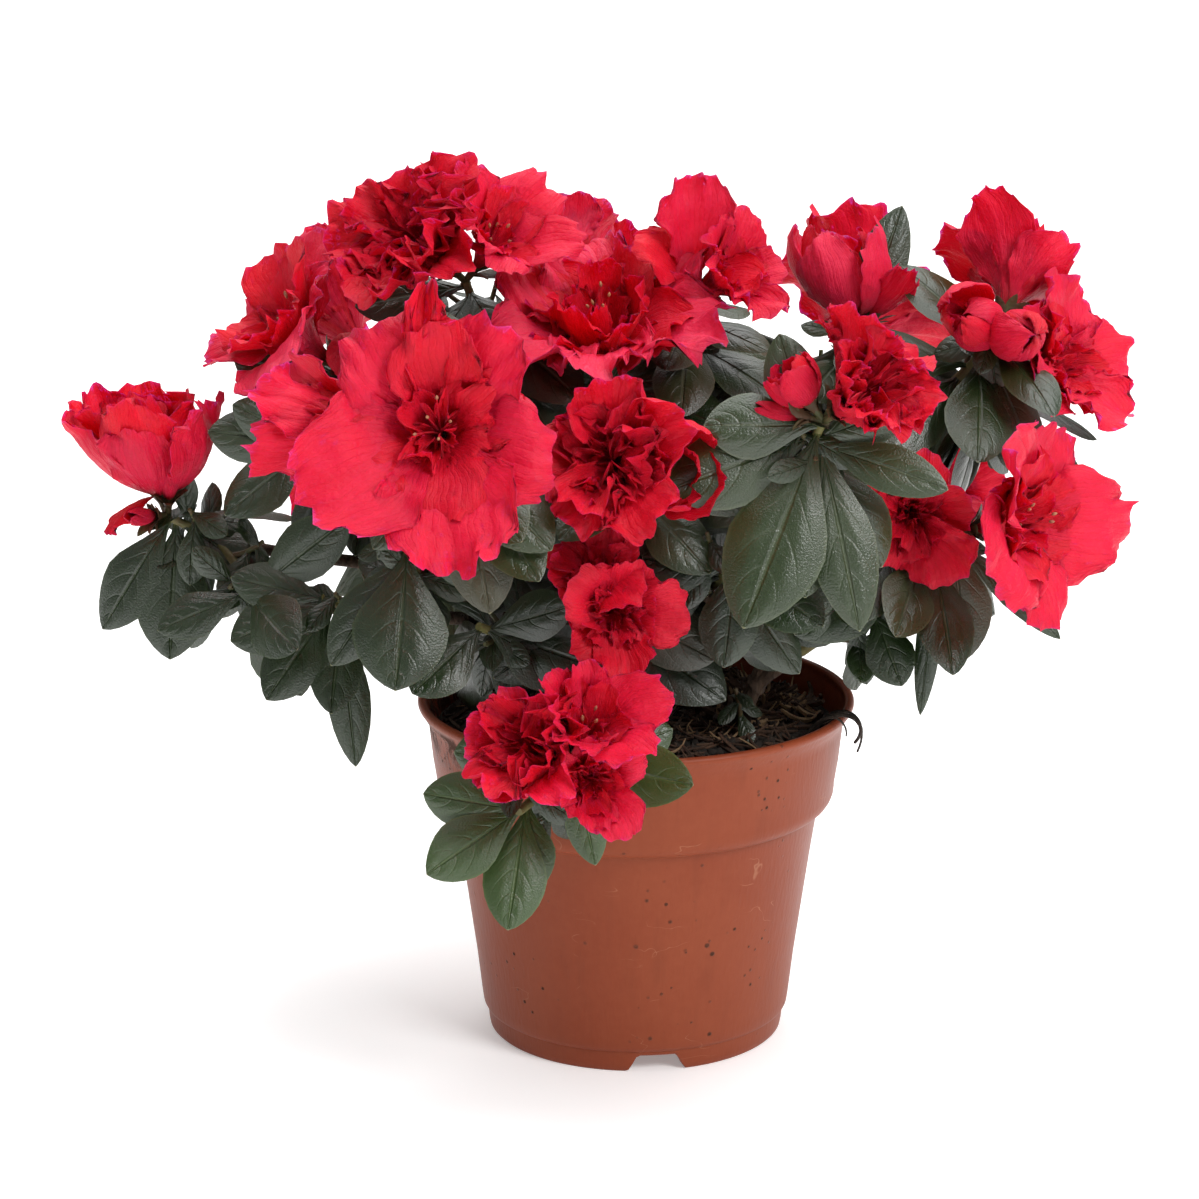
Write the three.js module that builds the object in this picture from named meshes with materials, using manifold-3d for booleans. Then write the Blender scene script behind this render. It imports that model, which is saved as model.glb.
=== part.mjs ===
// A potted azalea: a thin plastic pot filled with peat, a short leaning trunk and a side stem,
// slender boughs, and leafy shoots that end in ruffled double blooms.
// Millimetres, +Z up, the front towards -Y. The origin is the middle of the pot's flat underside.
import * as THREE from "three";
import { mergeVertices } from "three/addons/utils/BufferGeometryUtils.js";
import Module from "manifold-3d";

const wasm = await Module();
wasm.setup();

// ---------------------------------------------------------------- driving dimensions

const gap = 0.3; // air between neighbouring solids
const up = new THREE.Vector3(0, 0, 1);
const front = new THREE.Vector3(0, -1, 0);
const goldenTurn = 137.5; // degrees from one leaf to the next round a shoot

const pot = {
  height: 95,
  rimRadius: 60,
  lipWidth: 2.6,
  lipDepth: 7,
  collarTop: 57, // collar radius under the lip
  collarFoot: 54.6, // collar radius at its lower edge
  collarZ: 70,
  stepZ: 65, // where the collar has rounded in to the body
  bodyTop: 50.6,
  bodyFoot: 42.4,
  footZ: 6.3, // height of the foot skirt
  footRadius: 41.2,
  wall: 1.5,
  sides: 30,
};
const padRadius = 15; // flat pad in the middle of the floor, level with the foot
const drain = { count: 6, radius: 3.2, ring: 27 };
const notch = { count: 3, firstTurn: -82, mouth: 16, roof: 8, height: 5.2 };

const soil = { level: 90, edgeDrop: 3, flatRadius: 42 };

const trunk = { foot: [-3, 3], head: [2, 0, 125], flare: 8.2, radius: 5.4, tip: 3.4, sides: 9 };
const sideStem = { foot: [28, -17], head: [37, -16, 119], flare: 3.6, radius: 2.4, tip: 1.9, sides: 6 };

const bough = { baseRadius: 2.3, tipRadius: 1.6, sides: 5, steps: 4 };
const shoot = { stemLength: 26, forkShare: 0.55, forkRadius: 1.1, tipRadius: 1.2, sides: 3 };
const leaf = { length: 40, breadth: 0.48, thick: 1.2, spacing: 1.9, bend: 32, droop: 0.6 };
const petal = {
  thick: 1.1, openAngle: 12, notch: 0.86, ruffle: 0.06, stalk: 6, stalkRadius: 1.3, inner: 0.64,
};
const budOpening = 20; // a bloom that opens less than this is a bud
const halfOpening = 35; // and less than this is half open

// Each mass grows from a bough. Its first shoot ends the bough's line and the others fork from
// it. tip is where the shoot ends. A bloom is [turn, lift, petal length, opening], its angles in
// degrees: turn is round from +X, lift is above level, and an opening under 20 is a bud.
const masses = [
  { name: "far_left", from: "trunk", at: 0.62, shoots: [
    { tip: [-128, -5, 151], leaves: 12, blooms: [[160, 72, 36, 48], [285, 62, 16, 10], [240, 12, 13, 10]] },
    { tip: [-106, -24, 131], leaves: 9, blooms: [] },
  ] },
  { name: "upper_left", from: "trunk", at: 0.74, shoots: [
    { tip: [-79, 2, 185], leaves: 11, blooms: [[205, 42, 38, 82], [276, 33, 24, 40]] },
    { tip: [-88, -16, 171], leaves: 7, blooms: [] },
  ] },
  { name: "front_left", from: "trunk", at: 0.66, shoots: [
    { tip: [-51, -53, 177], leaves: 13, blooms: [[268, 20, 48, 87], [186, 6, 30, 48]] },
  ] },
  { name: "top_left", from: "trunk", at: 0.9, shoots: [
    { tip: [-46, 3, 210], leaves: 11, blooms: [[226, 38, 36, 74], [20, 46, 34, 58]] },
  ] },
  { name: "top_centre", from: "trunk", at: 0.97, shoots: [
    { tip: [-8, 0, 181], leaves: 12, blooms: [[262, 62, 43, 78]] },
    { tip: [-16, 42, 202], leaves: 8, blooms: [[100, 30, 30, 70]] },
  ] },
  { name: "top_right", from: "trunk", at: 0.93, shoots: [
    { tip: [14, 6, 203], leaves: 10, blooms: [[80, 40, 36, 66], [318, 34, 25, 54]] },
  ] },
  { name: "right_crown", from: "trunk", at: 0.84, shoots: [
    { tip: [59, 8, 193], leaves: 11, blooms: [[150, 76, 28, 30], [40, 50, 27, 52]] },
  ] },
  { name: "front_right", from: "side_stem", at: 0.9, shoots: [
    { tip: [48, -50, 184], leaves: 14, blooms: [[305, 32, 27, 54], [21, 57, 28, 60], [183, 54, 17, 24],
      [180, 12, 13, 10]] },
  ] },
  { name: "far_right_crown", from: "trunk", at: 0.78, shoots: [
    { tip: [97, -4, 197], leaves: 9, blooms: [[60, 48, 35, 72], [240, 22, 24, 27], [280, 12, 25, 27]] },
    { tip: [100, 10, 180], leaves: 8, blooms: [[322, 25, 31, 78]] },
  ] },
  { name: "far_right", from: "side_stem", at: 0.74, shoots: [
    { tip: [87, -25, 148], leaves: 12, blooms: [[318, 18, 42, 80]] },
    { tip: [72, -12, 152], leaves: 8, blooms: [[276, 5, 29, 68]] },
  ] },
  { name: "centre", from: "trunk", at: 0.58, shoots: [
    { tip: [-2, -41, 169], leaves: 12, blooms: [[256, 20, 30, 74], [300, 12, 27, 28]] },
  ] },
  { name: "lower_centre", from: "trunk", at: 0.4, shoots: [
    { tip: [-10, -41, 134], leaves: 11, blooms: [[284, 2, 25, 66], [266, 42, 22, 66]] },
  ] },
  { name: "front_low", from: "trunk", at: 0.2, shoots: [
    { tip: [-17, -70, 97], leaves: 9, blooms: [[234, 30, 29, 58], [290, 46, 31, 50], [290, 0, 24, 58]] },
    { tip: [-31, -75, 86], leaves: 7, blooms: [] },
  ] },
  { name: "left_low", from: "trunk", at: 0.44, shoots: [
    { tip: [-84, -30, 131], leaves: 9, blooms: [] },
    { tip: [-61, -50, 151], leaves: 8, blooms: [] },
  ] },
  { name: "rim_left", from: "trunk", at: 0.3, shoots: [
    { tip: [-42, -40, 126], leaves: 10, blooms: [] },
  ] },
  { name: "rim_right", from: "side_stem", at: 0.45, shoots: [
    { tip: [64, -30, 128], leaves: 12, blooms: [] },
  ] },
  { name: "inner_right", from: "trunk", at: 0.52, shoots: [
    { tip: [26, -46, 146], leaves: 11, blooms: [] },
  ] },
  { name: "back_left", from: "trunk", at: 0.7, shoots: [
    { tip: [-72, 50, 174], leaves: 12, blooms: [[140, 40, 40, 80]] },
  ] },
  { name: "back_centre", from: "trunk", at: 0.86, shoots: [
    { tip: [-8, 72, 172], leaves: 12, blooms: [[95, 35, 38, 80]] },
  ] },
  { name: "back_right", from: "trunk", at: 0.8, shoots: [
    { tip: [56, 56, 174], leaves: 12, blooms: [[60, 35, 40, 78]] },
  ] },
  { name: "back_low_left", from: "trunk", at: 0.5, shoots: [
    { tip: [-64, 66, 130], leaves: 12, blooms: [[130, 15, 32, 72]] },
  ] },
  { name: "back_low", from: "trunk", at: 0.35, shoots: [
    { tip: [6, 80, 120], leaves: 12, blooms: [[80, 20, 30, 60]] },
  ] },
  { name: "back_low_right", from: "trunk", at: 0.47, shoots: [
    { tip: [72, 46, 134], leaves: 12, blooms: [[35, 18, 32, 72]] },
  ] },
];
const heart = new THREE.Vector3(0, 0, 112); // the shoots point away from here

// Leaves that stand out on a shoot: [turn, lift, length], and the breadth as a share of the length
// where it isn't the usual one. Each mass has a list for each shoot, and the rule grows the rest.
const leadLeaves = {
  far_left: [
    [[205, -52, 38], [235, -66, 36, 0.56], [330, -28, 31], [150, -66, 42, 0.3], [245, 70, 17, 0.4]],
    [[200, -30, 26]],
  ],
  upper_left: [[[196, 2, 31, 0.52]], [[192, -2, 28, 0.52], [215, -38, 31], [200, 18, 26]]],
  front_left: [[[320, -42, 40], [200, -30, 36]]],
  top_left: [[[196, -14, 31], [290, -30, 28, 0.6], [250, -30, 25]]],
  top_centre: [[[342, -4, 33], [325, -16, 38], [350, 16, 34], [208, -10, 22]]],
  right_crown: [[[26, 62, 33, 0.36], [60, 48, 30, 0.3]]],
  front_right: [[
    [200, -8, 31, 0.56], [235, -62, 56, 0.5], [295, -70, 53, 0.34], [203, -24, 42, 0.5],
    [345, 8, 27, 0.5], [328, -22, 38, 0.34], [195, 60, 31, 0.46],
  ]],
  far_right_crown: [[], [[215, -20, 20, 0.6]]],
  far_right: [
    [[285, -74, 34, 0.5], [340, -30, 33, 0.2], [195, -26, 30, 0.5], [318, -54, 28, 0.16]],
  ],
  centre: [[[205, -40, 26, 0.6]]],
  front_low: [
    [[318, -48, 27, 0.4], [20, 34, 20, 0.6], [10, 4, 20, 0.6]],
    [[188, 0, 26, 0.56], [215, -32, 31, 0.52], [258, -60, 33, 0.5], [284, -64, 22, 0.5]],
  ],
  left_low: [
    [[186, 0, 27], [200, -28, 29, 0.56], [222, -52, 32, 0.5], [286, -76, 44, 0.26],
      [262, -60, 30]],
    [[262, -66, 38, 0.66], [208, -58, 37, 0.4], [338, -22, 24]],
  ],
  rim_left: [[[228, -36, 27, 0.6], [330, -30, 29, 0.56], [316, 10, 28]]],
  rim_right: [[[262, -70, 24, 0.6], [200, -20, 24]]],
  inner_right: [[[255, -74, 28, 0.56], [320, -30, 30, 0.56], [200, -4, 24, 0.7]]],
};

// ---------------------------------------------------------------- solids

// A three.js geometry as a solid that can be joined and cut.
function solidOf(geometry) {
  const bare = geometry.clone();
  bare.deleteAttribute("normal");
  bare.deleteAttribute("uv");
  const merged = mergeVertices(bare, 1e-4);
  return new wasm.Manifold(new wasm.Mesh({
    numProp: 3,
    vertProperties: new Float32Array(merged.attributes.position.array),
    triVerts: new Uint32Array(merged.index.array),
  }));
}

// Points and outward triangles as a geometry.
function facets(points, triangles) {
  return new THREE.BufferGeometry()
    .setAttribute("position", new THREE.Float32BufferAttribute(points.flatMap((p) => p.toArray()), 3))
    .setIndex(triangles.flat());
}

function geometryOf(solid) {
  const mesh = solid.getMesh();
  return new THREE.BufferGeometry()
    .setAttribute("position", new THREE.BufferAttribute(new Float32Array(mesh.vertProperties), 3))
    .setIndex(new THREE.BufferAttribute(new Uint32Array(mesh.triVerts), 1))
    .toNonIndexed();
}

// Joins pieces and keeps the largest body, so loose scraps and sealed hollows go.
function fuse(pieces) {
  const joined = wasm.Manifold.union(pieces).simplify(0.02);
  return joined.decompose().sort((a, b) => b.volume() - a.volume())[0];
}

// A repeatable generator of numbers from 0 to 1.
function seeded(seed) {
  let state = seed * 7919 + 17;
  const next = () => (state = (state * 16807) % 2147483647) / 2147483647;
  next();
  return next;
}

function direction(turn, lift) {
  const [t, l] = [turn, lift].map(THREE.MathUtils.degToRad);
  return new THREE.Vector3(Math.cos(t) * Math.cos(l), Math.sin(t) * Math.cos(l), Math.sin(l));
}

// Two directions square to an axis and to each other.
function crossAxes(axis) {
  const side = Math.abs(axis.z) > 0.95 ? new THREE.Vector3(1, 0, 0) : up.clone().cross(axis).normalize();
  return [side, axis.clone().cross(side).normalize()];
}

// A tapering round limb along a curve, from share a to share b of its length, with flat ends.
function limb(curve, a, b, radiusAt, sides, steps, grow = 0) {
  const points = [];
  const triangles = [];
  let [side, other] = crossAxes(curve.getTangentAt(a));
  for (let i = 0; i <= steps; i += 1) {
    const share = a + ((b - a) * i) / steps;
    const axis = curve.getTangentAt(share);
    side = side.sub(axis.clone().multiplyScalar(side.dot(axis))).normalize();
    other = axis.clone().cross(side);
    const centre = curve.getPointAt(share);
    if (i === 0) centre.addScaledVector(axis, -grow);
    if (i === steps) centre.addScaledVector(axis, grow);
    const radius = radiusAt(i / steps) + grow;
    for (let k = 0; k < sides; k += 1) {
      const angle = (2 * Math.PI * k) / sides;
      points.push(centre.clone()
        .addScaledVector(side, radius * Math.cos(angle))
        .addScaledVector(other, radius * Math.sin(angle)));
    }
  }
  for (let i = 0; i < steps; i += 1) {
    for (let k = 0; k < sides; k += 1) {
      const [low, lowNext] = [i * sides + k, i * sides + ((k + 1) % sides)];
      triangles.push([low, lowNext, low + sides], [lowNext, lowNext + sides, low + sides]);
    }
  }
  const last = steps * sides;
  for (let k = 1; k < sides - 1; k += 1) {
    triangles.push([0, k + 1, k], [last, last + k, last + k + 1]);
  }
  return solidOf(facets(points, triangles));
}

// A thin blade whose midline starts at root along `along` and bends away from `face` by `bend`
// degrees. stations are [share of length, share of breadth] pairs between root and tip, and a
// ridge point lies above and below the middle.
function blade({ root, along, face, length, breadth, bend, thick, stations }) {
  const left = face.clone().cross(along);
  const turn = THREE.MathUtils.degToRad(bend);
  const spot = (u, v, w) => {
    const angle = turn * u;
    const ahead = Math.abs(turn) < 1e-3 ? u : Math.sin(angle) / turn;
    const down = Math.abs(turn) < 1e-3 ? 0 : (1 - Math.cos(angle)) / turn;
    return root.clone()
      .addScaledVector(along, length * ahead)
      .addScaledVector(face, -length * down)
      .addScaledVector(left, (v * breadth * length) / 2)
      .addScaledVector(face, w);
  };
  const outline = [
    spot(0, 0, 0),
    ...stations.map(([u, v]) => spot(u, -v, 0)),
    spot(1, 0, 0),
    ...stations.toReversed().map(([u, v]) => spot(u, v, 0)),
  ];
  const count = outline.length;
  const points = [...outline, spot(0.52, 0, thick / 2), spot(0.52, 0, -thick / 2)];
  const triangles = outline.flatMap((_, i) => {
    const next = (i + 1) % count;
    return [[i, next, count], [next, i, count + 1]];
  });
  return solidOf(facets(points, triangles));
}

// ---------------------------------------------------------------- pot and soil

// The pot's outer wall from rim to foot, as [radius, height] pairs.
function outerWall() {
  const round = 2; // points on the collar's rounded lower edge
  const turnIn = Array.from({ length: round + 1 }, (_, i) => {
    const angle = (Math.PI / 2) * (i / round);
    return [
      pot.bodyTop + (pot.collarFoot - pot.bodyTop) * Math.cos(angle),
      pot.collarZ - (pot.collarZ - pot.stepZ) * Math.sin(angle),
    ];
  });
  return [
    [pot.rimRadius, pot.height],
    [pot.rimRadius, pot.height - 1.6],
    [pot.collarTop, pot.height - pot.lipDepth],
    ...turnIn,
    [pot.bodyFoot, pot.footZ + 2],
    [pot.bodyFoot - 0.6, pot.footZ],
    [pot.footRadius, pot.footZ - 1],
    [pot.footRadius - 0.6, 0],
  ];
}

function potSolid() {
  const inner = [
    [pot.collarTop, pot.height - pot.lipDepth],
    [pot.collarFoot, pot.collarZ],
    [pot.bodyTop, pot.stepZ - 1.5],
  ].map(([r, z]) => [r - pot.wall, z]);
  const floor = pot.footZ + pot.wall;
  const profile = [
    [0, 0],
    [padRadius - 1.5, 0],
    [padRadius, pot.footZ - 0.6],
    [pot.footRadius - 3, pot.footZ - 0.6],
    [pot.footRadius - 2.6, 0],
    ...outerWall().toReversed(),
    [pot.rimRadius - pot.lipWidth, pot.height],
    ...inner,
    [pot.bodyFoot - pot.wall, floor],
    [padRadius + 2, floor],
    [padRadius - 0.5, pot.wall],
    [0, pot.wall],
  ].map(([r, z]) => new THREE.Vector2(r, z));
  const wall = solidOf(new THREE.LatheGeometry(profile, pot.sides).rotateX(Math.PI / 2));
  const cuts = [];
  for (let i = 0; i < drain.count; i += 1) {
    const hole = new THREE.CylinderGeometry(drain.radius, drain.radius, 8, 6).rotateX(Math.PI / 2);
    hole.translate(drain.ring, 0, floor).rotateZ((2 * Math.PI * i) / drain.count);
    cuts.push(solidOf(hole));
  }
  const arch = new THREE.Shape([
    new THREE.Vector2(-notch.mouth / 2, -1),
    new THREE.Vector2(notch.mouth / 2, -1),
    new THREE.Vector2(notch.roof / 2 + 1, notch.height - 1.2),
    new THREE.Vector2(notch.roof / 2, notch.height),
    new THREE.Vector2(-notch.roof / 2, notch.height),
    new THREE.Vector2(-notch.roof / 2 - 1, notch.height - 1.2),
  ]);
  for (let i = 0; i < notch.count; i += 1) {
    const reach = 8; // through the skirt, from inside it to outside
    const cut = new THREE.ExtrudeGeometry(arch, { depth: reach, bevelEnabled: false });
    cut.rotateX(Math.PI / 2).rotateZ(Math.PI / 2).translate(pot.footRadius - reach / 2, 0, 0);
    cut.rotateZ(THREE.MathUtils.degToRad(notch.firstTurn + (360 * i) / notch.count));
    cuts.push(solidOf(cut));
  }
  return fuse([wall.subtract(wasm.Manifold.union(cuts))]);
}

// Peat that fills the pot, with a flat top that drops to the wall.
function soilSolid() {
  const side = [[pot.collarFoot, pot.collarZ], [pot.bodyTop, pot.stepZ - 1.5]]
    .map(([r, z]) => [r - pot.wall - gap, z]);
  const bottom = pot.footZ + pot.wall + gap;
  const profile = [
    [0, bottom],
    [pot.bodyFoot - pot.wall - 2 * gap, bottom],
    ...side.toReversed(),
    [pot.collarTop - pot.wall - 2 * gap, soil.level - soil.edgeDrop],
    [soil.flatRadius, soil.level],
    [0, soil.level],
  ].map(([r, z]) => new THREE.Vector2(r, z));
  return solidOf(new THREE.LatheGeometry(profile, pot.sides).rotateX(Math.PI / 2));
}

// ---------------------------------------------------------------- stems, boughs and shoots

function stemCurve({ foot, head }) {
  const [x, y] = foot;
  const ground = soil.level + gap;
  const end = new THREE.Vector3(...head);
  return new THREE.CubicBezierCurve3(
    new THREE.Vector3(x, y, ground),
    new THREE.Vector3(x, y, ground + (end.z - ground) * 0.35),
    new THREE.Vector3(end.x, end.y, ground + (end.z - ground) * 0.6),
    end,
  );
}

// Flared at the ground, then a slow taper to the tip.
function stemRadius({ flare, radius, tip }) {
  return (share) => tip + (radius - tip) * (1 - share) + (flare - radius) * Math.exp(-share * 9);
}

// Rises out of its stem and arrives along the shoot's own aim.
function boughCurve(start, tip) {
  const reach = tip.distanceTo(start);
  const outward = new THREE.Vector3(tip.x - start.x, tip.y - start.y, 0).normalize();
  const leaving = outward.multiplyScalar(0.75).addScaledVector(up, 0.65).normalize();
  return new THREE.CubicBezierCurve3(
    start,
    start.clone().addScaledVector(leaving, reach / 3),
    tip.clone().addScaledVector(aimOf(tip), -reach / 3),
    tip,
  );
}

// Away from the plant's heart, lifted a little.
function aimOf(tip) {
  return tip.clone().sub(heart).normalize().addScaledVector(up, 0.3).normalize();
}

// Where leaf k of a shoot, counted back from the tip, leaves the line.
function leafShare(line, k) {
  return Math.max(0.08, 1 - (1.5 + leaf.spacing * k) / line.getLength());
}

// Leaves show their faces to the side of the plant they hang on: 1 is the front, and -1 the back.
function sunward(line) {
  return THREE.MathUtils.clamp(0.6 - line.getPointAt(1).y / 60, -1, 1);
}

// One leaf from its root along a direction, with its face turned square to it.
function leafBlade(root, along, face, size) {
  return blade({
    root,
    along,
    face: face.addScaledVector(along, -face.dot(along)).normalize(),
    breadth: leaf.breadth,
    thick: leaf.thick,
    stations: [[0.3, 0.5], [0.68, 1]],
    ...size,
  });
}

// A leaf that grows by the rule. vary holds four numbers from -0.5 to 0.5, and shift turns the
// leaf further round the shoot.
function ruledLeaf({ line, k, count, firstTurn, vary }, shift) {
  const age = k / Math.max(1, count - 1); // 0 at the shoot's tip, 1 at its oldest leaf
  const share = leafShare(line, k);
  const axis = line.getTangentAt(share);
  const [side, other] = crossAxes(axis);
  const turn = THREE.MathUtils.degToRad(firstTurn + goldenTurn * k + 24 * vary[0] + shift);
  const spread = THREE.MathUtils.degToRad(52 + 44 * age + 16 * vary[1]);
  const out = side.multiplyScalar(Math.cos(turn)).addScaledVector(other, Math.sin(turn));
  const along = axis.clone().multiplyScalar(Math.cos(spread))
    .addScaledVector(out, Math.sin(spread))
    .addScaledVector(up, -leaf.droop)
    .normalize();
  const face = up.clone().multiplyScalar(0.4).addScaledVector(axis, 0.6)
    .addScaledVector(front, sunward(line));
  return leafBlade(line.getPointAt(share), along, face, {
    length: leaf.length * (0.74 + 0.26 * Math.sqrt(age)) * (1 + 0.22 * vary[2]),
    bend: leaf.bend * (1 + 0.8 * vary[3]),
  });
}

// A leaf of the list above. It starts half its bend above its lift, so that its tip ends there.
function ledLeaf({ line, k, vary, lead: [turn, lift, length, breadth = leaf.breadth] }, shift) {
  const ease = 0.5 + 0.5 * Math.cos(THREE.MathUtils.degToRad(lift));
  const bend = leaf.bend * ease * (1 + 0.3 * vary[3]);
  const along = direction(turn + shift, Math.min(lift + bend / 2, 85));
  const face = up.clone().multiplyScalar(0.5).addScaledVector(direction(turn, 0), 0.25)
    .addScaledVector(front, 1.1 * sunward(line));
  return leafBlade(line.getPointAt(leafShare(line, k)), along, face, { length, breadth, bend });
}

// The middle line of a corolla's wall: how far ahead and how far out it lies at a share of its
// length, and the angle it has opened to by then.
function wallPoint({ length, opening }, share) {
  const start = THREE.MathUtils.degToRad(petal.openAngle);
  const bend = THREE.MathUtils.degToRad(opening) - start;
  const angle = start + bend * share;
  return {
    ahead: (length * (Math.sin(angle) - Math.sin(start))) / bend,
    out: (length * (Math.cos(start) - Math.cos(angle))) / bend,
    angle,
  };
}

// A stalk that widens into a funnel of joined petals, with a second smaller funnel standing in
// it: one closed surface, ring by ring, up the back, over the rim, down into the fold between the
// funnels, up to the inner rim and down to the throat. The rims are waved into lobes.
function bloomSolid(tip, [turn, lift, length, opening], firstTurn) {
  const isHalf = opening < halfOpening;
  const lobes = isHalf ? 4 : 5;
  const wide = { length, opening };
  const narrow = { length: length * petal.inner, opening: opening * 0.62 };
  const onWall = (wall, share, offset) => (k) => {
    const { ahead, out, angle } = wallPoint(wall, share * (k % 2 ? petal.notch : 1));
    const lean = offset + petal.ruffle * wall.length * share ** 3 * (k % 4 < 2 ? 1 : -1);
    return [ahead + lean * Math.sin(angle), out - lean * Math.cos(angle)];
  };
  const rings = [onWall(wide, 0.5, -petal.thick), onWall(wide, 1, 0), onWall(wide, 0.66, 0.2)];
  if (!isHalf) rings.push(onWall(wide, 0.32, 0.4), onWall(narrow, 1, 0));
  return turned(tip, direction(turn, lift), firstTurn, lobes, rings, length * 0.3);
}

// A closed bud: a stalk and a pointed spindle.
function budSolid(tip, [turn, lift, length], firstTurn) {
  const rings = [[0.3 * length, 0.22 * length], [0.72 * length, 0.2 * length]];
  return turned(tip, direction(turn, lift), firstTurn, 3, rings.map((ring) => () => ring), length);
}

// A closed surface strung over rings round `facing`: a stalk with as many sides as lobes, then
// rings of twice as many points, then a last point on the axis. Each ring gives the
// [ahead, out] of its point k.
function turned(tip, facing, firstTurn, lobes, rings, end) {
  const [side, other] = crossAxes(facing);
  const base = tip.clone().addScaledVector(facing, petal.stalk);
  const count = 2 * lobes;
  const spot = (ahead, out, share) => {
    const round = THREE.MathUtils.degToRad(firstTurn + 360 * share);
    return base.clone().addScaledVector(facing, ahead)
      .addScaledVector(side, out * Math.cos(round))
      .addScaledVector(other, out * Math.sin(round));
  };
  const upTo = (n) => Array.from({ length: n }, (_, k) => k);
  const points = [
    tip.clone().addScaledVector(facing, -1.5),
    ...upTo(lobes).map((k) => spot(-1.2, petal.stalkRadius, k / lobes)),
    ...rings.flatMap((ring) => upTo(count).map((k) => spot(...ring(k), k / count))),
    base.clone().addScaledVector(facing, end),
  ];
  const ringStart = (i) => 1 + lobes + i * count;
  const last = points.length - 1;
  const triangles = upTo(lobes).flatMap((k) => {
    const [low, lowNext] = [1 + k, 1 + ((k + 1) % lobes)];
    const [high, middle, highNext] = [0, 1, 2].map((step) => ringStart(0) + ((2 * k + step) % count));
    return [[0, lowNext, low], [low, middle, high], [low, lowNext, middle], [lowNext, highNext, middle]];
  });
  for (const k of upTo(count)) {
    const next = (k + 1) % count;
    triangles.push([last, last - count + k, last - count + next]);
    for (let i = 1; i < rings.length; i += 1) {
      const [low, high] = [ringStart(i - 1), ringStart(i)];
      triangles.push([low + k, low + next, high + next], [low + k, high + next, high + k]);
    }
  }
  return solidOf(facets(points, triangles));
}

// ---------------------------------------------------------------- the plant

const solids = new Map(); // node name to solid
const stems = new Map();
const placed = []; // every accepted piece, with its node, its shoot and its box
const cutRoom = 1.3 * gap; // a limb's flats lie closer to its axis than its edges
const grown = []; // limbs made fatter, to cut later limbs clear of them

function place(node, solid, shootIndex = 0) {
  placed.push({ node, shootIndex, solid, box: solid.boundingBox() });
  return solid;
}

function areNear(a, b) {
  return [0, 1, 2].every((i) => a.min[i] - gap < b.max[i] && b.min[i] - gap < a.max[i]);
}

// True if a piece keeps the gap from everything but its own shoot.
function isClear(piece, node, shootIndex) {
  const box = piece.boundingBox();
  return placed.every((other) => (other.node === node && other.shootIndex === shootIndex)
    || !areNear(box, other.box) || piece.minGap(other.solid, 2 * gap) >= gap);
}

function growStem(name, spec) {
  const line = stemCurve(spec);
  const radiusAt = stemRadius(spec);
  stems.set(name, { line, radiusAt });
  solids.set(name, place(name, limb(line, 0, 1, radiusAt, spec.sides, 6)));
  grown.push(limb(line, 0, 1, radiusAt, spec.sides, 6, cutRoom));
}

// The bough of a mass, from a flat cut just clear of its stem to where the mass begins, and the
// lines of the mass's shoots beyond it.
function growBough(mass) {
  const tips = mass.shoots.map((spec) => new THREE.Vector3(...spec.tip));
  const stem = stems.get(mass.from);
  const line = boughCurve(stem.line.getPointAt(mass.at), tips[0]);
  const end = 1 - shoot.stemLength / line.getLength();
  const start = end + cutRoom / line.getLength(); // where the mass's own stem starts
  const radiusAt = (u) => THREE.MathUtils.lerp(bough.baseRadius, bough.tipRadius, u);
  const outward = line.getTangentAt(0).setZ(0).normalize();
  const clearOf = outward.dot(line.getPointAt(0)) + stem.radiusAt(mass.at) + gap;
  const whole = limb(line, 0, end, radiusAt, bough.sides, bough.steps)
    .trimByPlane(outward.toArray(), clearOf);
  const name = "bough_" + mass.name;
  solids.set(name, place(name, fuse([grown.reduce((kept, other) => kept.subtract(other), whole)])));
  grown.push(limb(line, 0, end, radiusAt, bough.sides, bough.steps, cutRoom));
  return tips.map((tip, i) => {
    if (i === 0) {
      const shares = [0, 0.34, 0.67, 1].map((u) => THREE.MathUtils.lerp(start, 1, u));
      return new THREE.CatmullRomCurve3(shares.map((share) => line.getPointAt(share)));
    }
    const fork = line.getPointAt(THREE.MathUtils.lerp(end, 1, shoot.forkShare));
    const bendPoint = tip.clone().addScaledVector(aimOf(tip), -tip.distanceTo(fork) / 2);
    return new THREE.QuadraticBezierCurve3(fork, bendPoint, tip);
  });
}

function growTwigs(mass) {
  return mass.lines.map((line, i) => {
    const base = i === 0 ? bough.tipRadius : shoot.forkRadius;
    const radiusAt = (u) => THREE.MathUtils.lerp(base, shoot.tipRadius, u);
    return place(mass.name, limb(line, 0, 1, radiusAt, shoot.sides, 3), i);
  });
}

function growBlooms(mass) {
  mass.shoots.forEach((spec, i) => {
    for (const bloom of spec.blooms) {
      const shape = bloom[3] < budOpening ? budSolid : bloomSolid;
      const piece = shape(mass.lines[i].getPointAt(1), bloom, 72 * mass.random());
      if (isClear(piece, mass.name, i)) mass.pieces.push(place(mass.name, piece, i));
    }
  });
}

// The leaves that a mass may grow, in the order that its random numbers are drawn.
function listLeaves(mass) {
  return mass.shoots.flatMap(({ leaves: count }, i) => {
    const firstTurn = 360 * mass.random();
    const leads = leadLeaves[mass.name]?.[i] ?? [];
    return Array.from({ length: count }, (_, k) => {
      const vary = [0, 1, 2, 3].map(() => mass.random() - 0.5);
      return { mass, i, line: mass.lines[i], k, count, firstTurn, vary, lead: leads[k] };
    });
  });
}

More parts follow.
